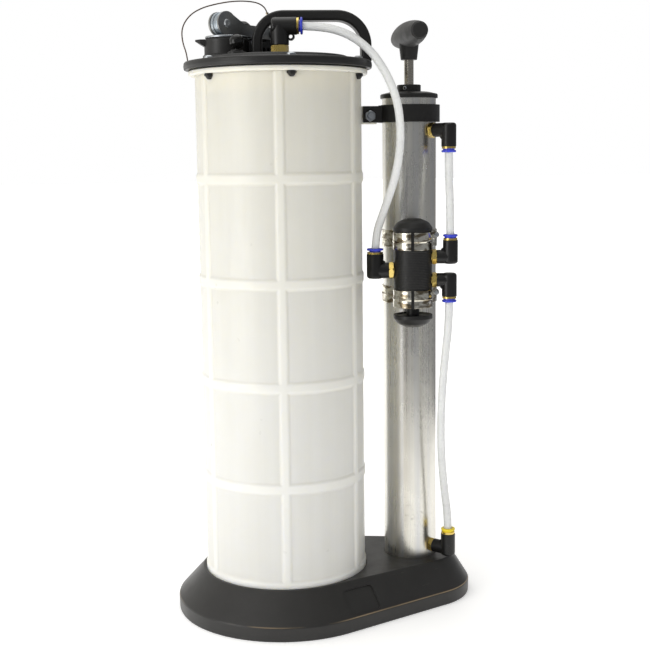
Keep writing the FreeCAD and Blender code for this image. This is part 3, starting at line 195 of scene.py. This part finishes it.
# ---- material helpers ---------------------------------------------------------------------------
class Look:
    """A Principled material with short calls for the procedural detail that feeds it."""

    def __init__(self, name, roughness=0.5, metallic=0.0, **constants):
        self.material = bpy.data.materials.new(name)
        self.material.use_nodes = True
        self.tree = self.material.node_tree
        self.shader = self.tree.nodes["Principled BSDF"]
        self.shader.inputs["Roughness"].default_value = roughness
        self.shader.inputs["Metallic"].default_value = metallic
        for key, value in constants.items():
            self.shader.inputs[key.replace("_", " ")].default_value = value
        self.place = self.new("ShaderNodeTexCoord").outputs["Object"]
        self.height = None

    def new(self, kind):
        return self.tree.nodes.new(kind)

    def join(self, source, target):
        self.tree.links.new(source, target)

    def stretched(self, scale):
        node = self.new("ShaderNodeMapping")
        node.inputs["Scale"].default_value = scale
        self.join(self.place, node.inputs["Vector"])
        return node.outputs["Vector"]

    def noise(self, scale, detail=4.0, roughness=0.55, stretch=None, distortion=0.0):
        """Noise in object space; scale is in features per metre, or (x, y, z) through stretch."""
        node = self.new("ShaderNodeTexNoise")
        node.inputs["Scale"].default_value = scale
        node.inputs["Detail"].default_value = detail
        node.inputs["Roughness"].default_value = roughness
        node.inputs["Distortion"].default_value = distortion
        self.join(self.stretched(stretch) if stretch else self.place, node.inputs["Vector"])
        return node.outputs["Fac"]

    def cells(self, scale, feature="F1"):
        node = self.new("ShaderNodeTexVoronoi")
        node.feature = feature
        node.inputs["Scale"].default_value = scale
        self.join(self.place, node.inputs["Vector"])
        return node.outputs["Distance"]

    def span(self, value, low, high, to_low=0.0, to_high=1.0):
        node = self.new("ShaderNodeMapRange")
        node.inputs["From Min"].default_value = low
        node.inputs["From Max"].default_value = high
        node.inputs["To Min"].default_value = to_low
        node.inputs["To Max"].default_value = to_high
        self.join(value, node.inputs["Value"])
        return node.outputs["Result"]

    def sum(self, operation, first, second):
        node = self.new("ShaderNodeMath")
        node.operation = operation
        for socket, value in zip(node.inputs, (first, second)):
            if isinstance(value, (int, float)):
                socket.default_value = value
            else:
                self.join(value, socket)
        return node.outputs["Value"]

    def axis(self, name):
        node = self.new("ShaderNodeSeparateXYZ")
        self.join(self.place, node.inputs["Vector"])
        return node.outputs[name]

    def from_axis(self, centre):
        """Distance from an upright axis through centre."""
        x = self.sum("SUBTRACT", self.axis("X"), centre.x)
        y = self.sum("SUBTRACT", self.axis("Y"), centre.y)
        squares = self.sum("ADD", self.sum("MULTIPLY", x, x), self.sum("MULTIPLY", y, y))
        return self.sum("SQRT", squares, 0.0)

    def blend(self, share, first, second, kind="MIX"):
        """Colour between two colours or colour sockets."""
        node = self.new("ShaderNodeMix")
        node.data_type = "RGBA"
        node.blend_type = kind
        if isinstance(share, (int, float)):
            node.inputs["Factor"].default_value = share
        else:
            self.join(share, node.inputs["Factor"])
        for socket, colour in ((node.inputs[6], first), (node.inputs[7], second)):
            if isinstance(colour, tuple):
                socket.default_value = (*colour, 1)
            else:
                self.join(colour, socket)
        return node.outputs[2]

    def colour(self, value):
        self.join(value, self.shader.inputs["Base Color"])

    def gloss(self, value, low, high):
        self.join(self.span(value, 0.25, 0.75, low, high), self.shader.inputs["Roughness"])

    def relief(self, value, depth, strength=1.0):
        """Adds value times depth, in metres, to the surface's height."""
        node = self.new("ShaderNodeBump")
        node.inputs["Distance"].default_value = depth
        node.inputs["Strength"].default_value = strength
        self.join(value, node.inputs["Height"])
        if self.height:
            self.join(self.height, node.inputs["Normal"])
        self.height = node.outputs["Normal"]
        self.join(self.height, self.shader.inputs["Normal"])


# ---- materials ----------------------------------------------------------------------------------
def scratches(look, across, along, low, high):
    """Thin streaks: noise drawn out along one direction and cut to its highest values."""
    return look.span(look.noise(1.0, 3.0, 0.6, stretch=(across, across, along)), low, high)


def tank_plastic():
    """Blow-moulded translucent polyethylene: milky, warmer in the panels, whiter on the ribs, with painted
    shade that darkens it towards the top.
    """
    look = Look("tank_polyethylene", 0.4, Subsurface_Weight=0.6, Subsurface_Radius=(0.012, 0.011, 0.008),
                Subsurface_Scale=1.0, IOR=1.5, Specular_IOR_Level=0.45)
    cloud = look.noise(8.0, 5.0, 0.5, distortion=0.6)
    streak = look.noise(1.0, 4.0, 0.6, stretch=(80, 80, 1.5))
    panel = look.blend(cloud, (0.70, 0.675, 0.59), (0.77, 0.75, 0.675))
    panel = look.blend(look.span(streak, 0.3, 0.8, 0.0, 0.45), panel, (0.79, 0.775, 0.71))
    proud = look.span(look.from_axis(TANK), 0.0820, 0.0830, 0.0, 0.8)
    shell = look.blend(proud, panel, (0.80, 0.785, 0.725))
    # Painted shade: the colour darkens and warms from z 0.16 up to the rim, standing in for the shade that
    # the dark lid and flange cast into the top of the shell.
    painted_top_shade = look.span(look.axis("Z"), 0.16, 0.53, 0.0, 0.85)
    look.colour(look.blend(painted_top_shade, shell, (0.73, 0.72, 0.685), "MULTIPLY"))
    look.gloss(look.noise(30.0, 3.0), 0.26, 0.42)
    look.relief(look.noise(22.0, 2.0), 0.0012, 0.35)
    look.relief(streak, 0.0004, 0.25)
    look.relief(look.noise(900.0, 2.0), 0.00006, 0.5)
    return look


def black_plastic(name, grain=1300.0, depth=0.00007, rough=(0.42, 0.58), tone=0.013, scuffed=1.0):
    """Moulded black plastic with a spark-eroded grain, faint flow marks and a few pale scuffs."""
    look = Look(name, 0.5, IOR=1.5, Specular_IOR_Level=0.38)
    flow = look.noise(26.0, 4.0, 0.6)
    dark, light = (tone * 0.8, tone * 0.77, tone * 0.74), (tone * 1.5, tone * 1.45, tone * 1.38)
    base = look.blend(flow, dark, light)
    scuff = scratches(look, 55, 420, 0.68, 0.80)
    wear = look.sum("MULTIPLY", scuff, look.span(look.noise(14.0, 2.0), 0.5, 0.72, 0.0, 0.55 * scuffed))
    dust = look.span(look.cells(420.0), 0.10, 0.04, 0.0, 0.22 * scuffed)
    base = look.blend(wear, base, (0.16, 0.15, 0.135))
    look.colour(look.blend(dust, base, (0.20, 0.19, 0.17)))
    look.gloss(look.noise(48.0, 3.0), *rough)
    look.relief(look.noise(grain, 2.0, 0.6), depth, 0.8)
    look.relief(look.noise(35.0, 2.0), 0.0003, 0.25)
    return look


def base_plastic():
    """The base's plastic, with a painted tan highlight along the ridge of its skirt, broken up by noise."""
    look = black_plastic("base_plastic", 1000.0, 0.00007, (0.32, 0.46), 0.019)
    plain = look.shader.inputs["Base Color"].links[0].from_socket
    z = look.axis("Z")
    # Painted highlight: a thin tan line along the skirt's ridge, where its edge catches the light, broken
    # into lengths by the noise in patches.
    ridge = look.sum("MULTIPLY", look.span(z, 0.0138, 0.0143), look.span(z, 0.0153, 0.0147))
    patches = look.span(look.noise(9.0, 3.0), 0.42, 0.60, 0.0, 0.75)
    look.colour(look.blend(look.sum("MULTIPLY", ridge, patches), plain, (0.30, 0.22, 0.13)))
    return look


def rubber(name, tone=0.012, rough=(0.62, 0.8)):
    """Matt black rubber with a greyish bloom."""
    look = Look(name, 0.7, Specular_IOR_Level=0.35, Sheen_Weight=0.05)
    bloom = look.noise(40.0, 5.0, 0.65)
    look.colour(look.blend(bloom, (tone * 0.8,) * 3, (tone * 1.9, tone * 1.85, tone * 1.75)))
    look.gloss(look.noise(90.0, 3.0), *rough)
    look.relief(look.noise(1500.0, 3.0), 0.00008, 0.9)
    return look


def drawn_aluminium():
    """Drawn tube: long upright die lines, handling scratches, dull spots and small dents."""
    look = Look("drawn_aluminium", 0.3, 1.0)
    lines = look.noise(1.0, 5.0, 0.7, stretch=(420, 420, 1.1))
    broad = look.noise(1.0, 3.0, 0.5, stretch=(46, 46, 1.4))
    haze = look.noise(16.0, 5.0, 0.6, distortion=0.4)
    tint = look.noise(1.0, 2.0, 0.5, stretch=(62, 62, 0.7))
    base = look.blend(look.span(broad, 0.35, 0.65), (0.62, 0.59, 0.52), (0.79, 0.775, 0.71))
    base = look.blend(look.span(tint, 0.50, 0.62, 0.0, 0.7), base, (0.54, 0.56, 0.61))
    base = look.blend(look.span(lines, 0.35, 0.75, 0.0, 0.4), base, (0.86, 0.85, 0.81))
    pits = look.span(look.cells(150.0), 0.11, 0.05, 0.0, 0.5)
    spots = look.sum("MULTIPLY", pits, look.span(haze, 0.52, 0.6))
    look.colour(look.blend(spots, base, (0.30, 0.29, 0.25)))
    nicks = scratches(look, 130, 900, 0.62, 0.72)
    nicks = look.sum("MULTIPLY", nicks, look.span(look.noise(20.0, 2.0), 0.5, 0.62))
    uneven = look.sum("ADD", look.span(lines, 0.3, 0.7, 0.0, 0.10), look.span(haze, 0.3, 0.7, 0.0, 0.12))
    rough = look.span(uneven, 0.0, 0.22, 0.20, 0.40)
    look.join(look.sum("ADD", rough, look.span(nicks, 0.0, 1.0, 0.0, 0.2)), look.shader.inputs["Roughness"])
    look.relief(lines, 0.00010, 0.5)
    look.relief(broad, 0.0008, 0.35)
    look.relief(nicks, 0.00012, 0.6)
    look.relief(look.noise(34.0, 2.0), 0.0007, 0.25)
    return look


def bright_steel():
    """Thin polished stainless strip, slightly crumpled, so that it reflects in broken patches; dark brown
    patches painted into its colour add to those broken reflections.
    """
    look = Look("bright_band_steel", 0.12, 1.0)
    tint = look.noise(1.0, 2.0, 0.5, stretch=(90, 90, 190), distortion=0.6)
    # Painted reflection: the colour swings between pale gold, the strip's own, and dark brown patches that
    # stand in for dark surroundings reflected in it.
    look.colour(look.blend(look.span(tint, 0.40, 0.56), (0.22, 0.18, 0.12), (0.80, 0.77, 0.67)))
    look.gloss(look.noise(200.0, 3.0), 0.07, 0.24)
    look.relief(look.noise(1.0, 2.0, 0.5, stretch=(60, 60, 120)), 0.0012, 0.5)
    look.relief(scratches(look, 900, 120, 0.6, 0.75), 0.00004, 0.5)
    return look


def zinc(name, tint=(0.52, 0.55, 0.58), rough=(0.28, 0.46), dark=0.62):
    """Bright zinc plate with soft spangle and faint yellowing."""
    look = Look(name, 0.35, 1.0)
    spangle = look.noise(260.0, 3.0, 0.6, distortion=1.5)
    cloud = look.noise(60.0, 3.0)
    deep = tuple(c * dark for c in tint)
    base = look.blend(spangle, deep, tint)
    look.colour(look.blend(look.span(cloud, 0.45, 0.8, 0.0, 0.35), base, (0.62, 0.58, 0.48)))
    look.gloss(cloud, *rough)
    look.relief(look.noise(700.0, 2.0), 0.00004, 0.6)
    look.relief(scratches(look, 60, 800, 0.64, 0.72), 0.00005, 0.5)
    return look


def ground_rod():
    """Ground steel rod with fine rings and a dull oil film."""
    look = Look("ground_rod_steel", 0.25, 1.0)
    rings = look.noise(1.0, 3.0, 0.6, stretch=(30, 30, 2600))
    film = look.noise(45.0, 4.0)
    look.colour(look.blend(film, (0.34, 0.31, 0.26), (0.56, 0.53, 0.47)))
    look.gloss(rings, 0.20, 0.32)
    look.relief(rings, 0.00001, 0.3)
    return look


def brass():
    """Turned brass, tarnished in patches."""
    look = Look("turned_brass", 0.3, 1.0)
    turning = look.noise(1.0, 3.0, 0.6, stretch=(500, 500, 500))
    tarnish = look.noise(140.0, 4.0)
    look.colour(look.blend(tarnish, (0.62, 0.43, 0.09), (0.90, 0.71, 0.26)))
    look.gloss(tarnish, 0.18, 0.40)
    look.relief(turning, 0.00005, 0.6)
    return look


def collet_plastic(name, deep, light):
    """Small glossy moulding, slightly translucent at its edge."""
    look = Look(name, 0.3, Subsurface_Weight=0.15, Subsurface_Radius=(0.001, 0.001, 0.002), IOR=1.5)
    swirl = look.noise(220.0, 3.0, distortion=1.0)
    look.colour(look.blend(swirl, deep, light))
    look.gloss(look.noise(300.0, 2.0), 0.22, 0.38)
    look.relief(look.noise(1200.0, 2.0), 0.00004, 0.5)
    return look


def hose_plastic():
    """Milky polyethylene hose: clearer patches, faint extrusion lines and a waxy surface."""
    look = Look("hose_polyethylene", 0.28, Subsurface_Weight=0.65, Subsurface_Radius=(0.006, 0.006, 0.0065),
                Subsurface_Scale=1.0, IOR=1.5)
    cloud = look.noise(55.0, 4.0)
    base = look.blend(cloud, (0.58, 0.59, 0.585), (0.70, 0.705, 0.70))
    specks = look.span(look.cells(260.0), 0.09, 0.04, 0.0, 0.3)
    look.colour(look.blend(specks, base, (0.82, 0.82, 0.81)))
    look.gloss(look.noise(160.0, 3.0), 0.20, 0.38)
    look.relief(look.noise(420.0, 2.0), 0.00008, 0.4)
    look.relief(look.noise(40.0, 2.0), 0.0004, 0.3)
    return look


def wire_look():
    """Dark lacquered wire rope with its lay showing."""
    look = Look("lacquered_wire", 0.4, 0.6)
    lay = look.noise(1.0, 2.0, 0.5, stretch=(900, 900, 1500))
    look.colour(look.blend(lay, (0.035, 0.022, 0.015), (0.17, 0.11, 0.075)))
    look.gloss(lay, 0.30, 0.5)
    look.relief(lay, 0.00012, 0.8)
    return look


LOOKS = {
    "tank": tank_plastic(),
    "hose": hose_plastic(),
    "base": base_plastic(),
    "lid": black_plastic("lid_plastic", 1100.0, 0.00007, (0.34, 0.50), 0.009),
    "handle": black_plastic("handle_plastic", 1500.0, 0.00006, (0.32, 0.48), 0.008),
    "fitting": black_plastic("fitting_plastic", 1900.0, 0.00003, (0.26, 0.42), 0.006, 0.5),
    "knob": black_plastic("knob_phenolic", 2400.0, 0.00001, (0.10, 0.18), 0.004, 0.3),
    "valve": black_plastic("valve_plastic", 1500.0, 0.00006, (0.36, 0.52), 0.007, 0.7),
    "rubber": rubber("seal_rubber"),
    "grip": rubber("grip_rubber", 0.010, (0.42, 0.60)),
    "tube": drawn_aluminium(),
    "band": bright_steel(),
    "zinc": zinc("zinc_plate"),
    # The lever's dark grey tint is partly its own and partly painted shade, for side plates that lie in
    # shadow.
    "lever": zinc("lever_steel", (0.36, 0.37, 0.37), (0.30, 0.5), 0.6),
    "roller": zinc("roller_zinc", (0.46, 0.53, 0.60), (0.22, 0.4), 0.6),
    "rod": ground_rod(),
    "brass": brass(),
    "blue": collet_plastic("blue_collet", (0.020, 0.030, 0.36), (0.045, 0.065, 0.62)),
    "yellow": collet_plastic("yellow_collet", (0.75, 0.56, 0.010), (0.92, 0.74, 0.03)),
    "wire": wire_look(),
}
FINISH = {
    "tank": ["reservoir", "float_cage", "float_ball"],
    "hose": ["pickup_tube"],
    "base": ["base_plate"],
    "lid": ["lid", "pour_spout", "clamp_bracket", "relief_valve_body", "port_neck", "lid_cap_nuts"],
    "handle": ["carry_handle", "pump_strap", "pump_top_cap", "pump_bottom_cap", "rod_gland", "piston"],
    "fitting": ["large_elbows", "small_elbows", "port_cap"],
    "knob": ["relief_knob"],
    "valve": ["valve_body", "valve_spool", "valve_buttons"],
    "rubber": ["rubber_feet", "lid_gasket", "stopper_seal", "rod_seal", "piston_seal", "foot_check_disc",
               "spool_seals"],
    "grip": ["pump_grip"],
    "tube": ["pump_cylinder"],
    "band": ["valve_clamps", "valve_saddles", "lanyard_ferrule"],
    "zinc": ["pump_foot_screws", "lid_bolts", "handle_screws", "bracket_pins", "stopper_plate",
             "roller_rivet", "strap_fasteners", "clamp_screws", "relief_spring"],
    "lever": ["clamp_lever"],
    "roller": ["clamp_roller"],
    "rod": ["pump_rod"],
    "brass": ["elbow_studs", "elbow_rings"],
    "blue": ["lid_collet", "valve_inlet_collet", "valve_upper_collet", "valve_lower_collet",
             "pump_top_collet"],
    "yellow": ["pump_foot_collet"],
}


def finish_with(piece, look):
    """Gives a piece one of LOOKS in place of what it had."""
    piece.data.materials.clear()
    piece.data.materials.append(LOOKS[look].material)


for look, names in FINISH.items():
    for name in names:
        finish_with(nodes[name], look)
for hose in hoses:
    finish_with(hose, "hose")
finish_with(lanyard, "wire")


# ---- detailed pieces ----------------------------------------------------------------------------
def add_piece(name, mesh, body, stands_for, look, sharp=35):
    """Makes a finished bmesh a piece of the object; it may stand for a CAD node."""
    bmesh.ops.recalc_face_normals(mesh, faces=mesh.faces)
    data = bpy.data.meshes.new(name)
    mesh.to_mesh(data)
    mesh.free()
    data.shade_smooth()
    data.set_sharp_from_angle(angle=math.radians(sharp))
    piece = bpy.data.objects.new(name, data)
    scene.collection.objects.link(piece)
    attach(piece, body)
    if stands_for:
        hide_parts(stands_for)
    finish_with(piece, look)
    return piece


def turned(profile, centre, angles, shape=None):
    """Mesh of revolution about an upright axis from (radius, z) points, joined end to end unless
    they start and end on the axis. shape(radius, angle, z) may change a point's radius."""
    mesh = bmesh.new()
    rows = []
    for radius, z in profile:
        if radius == 0:
            rows.append([mesh.verts.new((centre.x, centre.y, z))])
            continue
        row = []
        for angle in angles:
            r = shape(radius, angle, z) if shape else radius
            row.append(mesh.verts.new((centre.x + r * math.cos(math.radians(angle)),
                                       centre.y + r * math.sin(math.radians(angle)), z)))
        rows.append(row)
    pairs = list(zip(rows, rows[1:]))
    if len(rows[0]) > 1:
        pairs.append((rows[-1], rows[0]))
    for low, high in pairs:
        for i in range(len(angles)):
            k = (i + 1) % len(angles)
            corners = [low[i % len(low)], low[k % len(low)], high[k % len(high)], high[i % len(high)]]
            mesh.faces.new(list(dict.fromkeys(corners)))
    return mesh


def bend(centre_r, centre_z, radius, first, last, steps=5):
    """Round corner of a profile: points on an arc between two angles in degrees."""
    turns = [math.radians(first + (last - first) * i / steps) for i in range(steps + 1)]
    return [(centre_r + radius * math.cos(t), centre_z + radius * math.sin(t)) for t in turns]


def fall(distance, flat, soft):
    """1 up to flat, falling smoothly to 0 over soft."""
    share = min(max((distance - flat) / soft, 0.0), 1.0)
    return 0.5 + 0.5 * math.cos(math.pi * share)


TANK_LOW, TANK_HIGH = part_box("reservoir")
STRAP_LOW, STRAP_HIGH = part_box("pump_strap")
SHELL_R, SHELL_T = 0.082, 0.0026
RISE, SINK = 0.0009, 0.0003      # how far ribs stand out of the wall and panels sink into it
RIM_R, RIM_TOP, RIM_T = TANK_HIGH.y - TANK.y, TANK_HIGH.z, 0.0047
RIM_LOW = RIM_TOP - RIM_T
WALL_LOW = TANK_LOW.z + 0.003    # the wall's lower end, above the floor's round corner
HOOP_PITCH = 0.0993
HOOPS = [RIM_LOW - HOOP_PITCH * k for k in (1, 2, 3, 4)] + [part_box("base_plate")[1].z + 0.0015]
RIB_ANGLE, SECTOR = -101.0, 60


def shell_radius(radius, angle, z):
    """Smooth hoops and upright ribs, with panels that sink between them."""
    if not WALL_LOW <= z <= RIM_LOW or radius < SHELL_R - 0.0001:
        return radius
    half = SECTOR / 2
    from_rib = math.radians(abs((angle - RIB_ANGLE + half) % SECTOR - half)) * SHELL_R
    near_hoop = [fall(abs(z - hoop), 0.0028, 0.0040) for hoop in HOOPS]
    raised = max([fall(from_rib, 0.0024, 0.0034)] + near_hoop)
    return radius + RISE * raised - SINK * (1 - raised)


def shell_heights():
    """Heights of the wall's rows: close together at the hoops and under the rim."""
    fine, coarse, least = 0.0008, 0.016, 0.0002
    heights = {WALL_LOW, RIM_LOW - 0.0003}
    for hoop in HOOPS:
        heights.update(hoop + fine * k for k in range(-9, 10))
    heights.update(RIM_LOW - fine * k for k in range(1, 13))
    heights.update(TANK_LOW.z + coarse * k for k in range(1, 32))
    inside = sorted(z for z in heights if WALL_LOW <= z < RIM_LOW)
    return [z for z, after in zip(inside, inside[1:] + [1]) if after - z > least]


def make_shell():
    """The reservoir: a blown shell with its rim, and the lug that the strap's bolt holds."""
    floor, inner = TANK_LOW.z, SHELL_R - SHELL_T
    neck, neck_low, shoulder_low = 0.0755, 0.527, 0.521    # the wall is thicker under the rim
    profile = [(0, floor), (0.045, floor)] + bend(SHELL_R - 0.003, WALL_LOW, 0.003, -90, -8)
    profile += [(SHELL_R, z) for z in shell_heights()] + [(SHELL_R + 0.0006, RIM_LOW + 0.0001)]
    profile += bend(RIM_R - 0.0012, RIM_LOW + 0.0013, 0.0012, -90, 0)
    profile += bend(RIM_R - 0.0008, RIM_TOP - 0.0008, 0.0008, 0, 90)
    profile += [(neck, RIM_TOP), (neck, neck_low), (inner, shoulder_low), (inner, floor + 0.008)]
    profile += bend(inner - 0.005, floor + SHELL_T + 0.005, 0.005, 0, -90) + [(0, floor + SHELL_T)]
    angles = []
    for rib in range(6):                                   # columns lie close at each rib
        start = RIB_ANGLE + SECTOR * rib - 6
        angles += [start + 0.7 * i for i in range(30)]
        angles += [start + 21 + 1.5 * i for i in range(26)]
    mesh = turned(profile, TANK, angles, shell_radius)
    lug_half = 0.004
    low = Vector((TANK.x + SHELL_R - 0.0015, -lug_half, STRAP_LOW.z - 0.0016))
    high = Vector((TANK_HIGH.x, lug_half, STRAP_HIGH.z - 0.001))
    place = Matrix.Translation((low + high) / 2) @ Matrix.Diagonal((*(high - low), 1))
    lug = bmesh.ops.create_cube(mesh, size=1, matrix=place)["verts"]
    edges = list({edge for vert in lug for edge in vert.link_edges})
    bmesh.ops.bevel(mesh, geom=edges, offset=0.0008, segments=3, affect="EDGES", profile=0.5)
    add_piece("reservoir_shell", mesh, "base", "reservoir", "tank")


def make_valve_sleeve():
    """The valve's barrel, finely grooved between its two bands."""
    low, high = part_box("valve_body")
    barrel = (high.y - low.y) / 2
    bore, seat = 0.00746, barrel - 0.0004                  # the bands sit on the seats
    seat_h, edge = 0.0182, 0.0008
    bottom, top = low.z + seat_h, high.z - seat_h
    pitch, depth = 0.0016, 0.00022                         # of the grooves
    profile = [(bore, low.z)] + bend(seat - edge, low.z + edge, edge, -90, 0)
    profile += [(seat, bottom), (barrel, bottom)]
    for k in range(1, int((top - bottom) / pitch)):
        z = bottom + pitch * k
        profile += [(barrel, z - pitch * 0.3), (barrel - depth, z - pitch * 0.1),
                    (barrel - depth, z + pitch * 0.1), (barrel, z + pitch * 0.3)]
    profile += [(barrel, top), (seat, top)]
    profile += bend(seat - edge, high.z - edge, edge, 0, 90) + [(bore, high.z)]
    mesh = turned(profile, VALVE, [3.75 * i for i in range(96)])
    add_piece("valve_barrel", mesh, "base", "valve_body", "valve", 50)


def make_spring():
    """The relief valve's coil spring, made at one fixed length, though the real one shortens as its knob is
    pulled.
    """
    low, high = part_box("relief_spring")
    centre = (low + high) / 2
    wire_r, turns = 0.0006, 5.5
    steps, around = 26, 10                                 # points in a turn and round the wire
    coil_r = (high.x - low.x) / 2 - wire_r
    mesh = bmesh.new()
    count = int(turns * steps)
    before = None
    for i in range(count + 1):
        turn = math.tau * i / steps
        z = low.z + wire_r + (high.z - low.z - 2 * wire_r) * i / count
        row = []
        for k in range(around):
            a = math.tau * k / around
            r = coil_r + wire_r * math.cos(a)
            row.append(mesh.verts.new((centre.x + r * math.cos(turn), centre.y + r * math.sin(turn),
                                       z + wire_r * math.sin(a))))
        if before:
            for k in range(around):
                after = (k + 1) % around
                mesh.faces.new((before[k], before[after], row[after], row[k]))
        else:
            mesh.faces.new(row[::-1])
        before = row
    mesh.faces.new(before)
    spring = add_piece("relief_coil", mesh, "base", "relief_spring", "zinc")
    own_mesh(spring)


def make_gland_screw():
    """Small socket screw let into the side of the rod gland."""
    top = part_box("rod_gland")[1].z
    outward = Matrix.Rotation(math.radians(-128), 4, "Z") @ Matrix.Rotation(math.radians(90), 4, "Y")
    reach, below_top = 0.0121, 0.0035                      # of the screw's face
    face, socket = 0.0019, 0.0010                          # radii
    profile = [(0, -0.0015), (face, -0.0015), (face, -0.0001), (face - 0.0003, 0.0001),
               (socket, 0.0001), (socket * 0.9, -0.00088), (0, -0.0011)]
    mesh = turned(profile, Vector((0, 0, 0)), [10 * i for i in range(36)])
    centre = Matrix.Translation((PUMP.x, PUMP.y, top - below_top))
    place = centre @ outward @ Matrix.Translation((0, 0, reach))
    bmesh.ops.transform(mesh, matrix=place, verts=mesh.verts)
    add_piece("gland_screw", mesh, "base", None, "zinc")


make_shell()
make_valve_sleeve()
make_spring()
make_gland_screw()


# ---- floor --------------------------------------------------------------------------------------
def make_floor():
    """Wide pale floor that brightens away from the object until it meets the white background."""
    mesh = bpy.data.meshes.new("floor")
    half = 20.0
    corners = [(-half, -half, 0), (half, -half, 0), (half, half, 0), (-half, half, 0)]
    mesh.from_pydata(corners, [], [(0, 1, 2, 3)])
    floor = bpy.data.objects.new("floor", mesh)
    scene.collection.objects.link(floor)
    look = Look("floor_paper", 0.8, Specular_IOR_Level=0.1)
    look.colour(look.blend(look.noise(3.0, 3.0), (0.88, 0.88, 0.88), (0.90, 0.90, 0.90)))
    look.shader.inputs["Emission Color"].default_value = (1, 1, 1, 1)
    far = look.span(look.from_axis(Vector((0, 0, 0))), 0.12, 0.9, 0.36, 0.78)
    look.join(far, look.shader.inputs["Emission Strength"])
    mesh.materials.append(look.material)


def make_card():
    """Dim curved card round the scene from its front left to its back right, seen by reflections only."""
    radius, height, steps = 0.8, 1.1, 24
    first, last = math.radians(-138), math.radians(62)
    mesh = bmesh.new()
    for i in range(steps + 1):
        angle = first + (last - first) * i / steps
        x, y = PUMP.x + radius * math.cos(angle), PUMP.y + radius * math.sin(angle)
        pair = [mesh.verts.new((x, y, z)) for z in (0.001, height)]
        if i:
            mesh.faces.new((before[0], pair[0], pair[1], before[1]))
        before = pair
    data = bpy.data.meshes.new("card")
    mesh.to_mesh(data)
    mesh.free()
    look = Look("card_felt", 0.9)
    look.colour(look.blend(look.noise(4.0, 3.0), (0.02, 0.02, 0.02), (0.06, 0.06, 0.06)))
    look.shader.inputs["Emission Color"].default_value = (0.9, 0.93, 1.0, 1)
    look.shader.inputs["Emission Strength"].default_value = 0.19
    data.materials.append(look.material)
    card = bpy.data.objects.new("card", data)
    card.visible_camera = False
    card.visible_diffuse = False
    card.visible_transmission = False
    card.visible_shadow = False
    scene.collection.objects.link(card)


make_floor()
make_card()

bpy.context.view_layer.update()
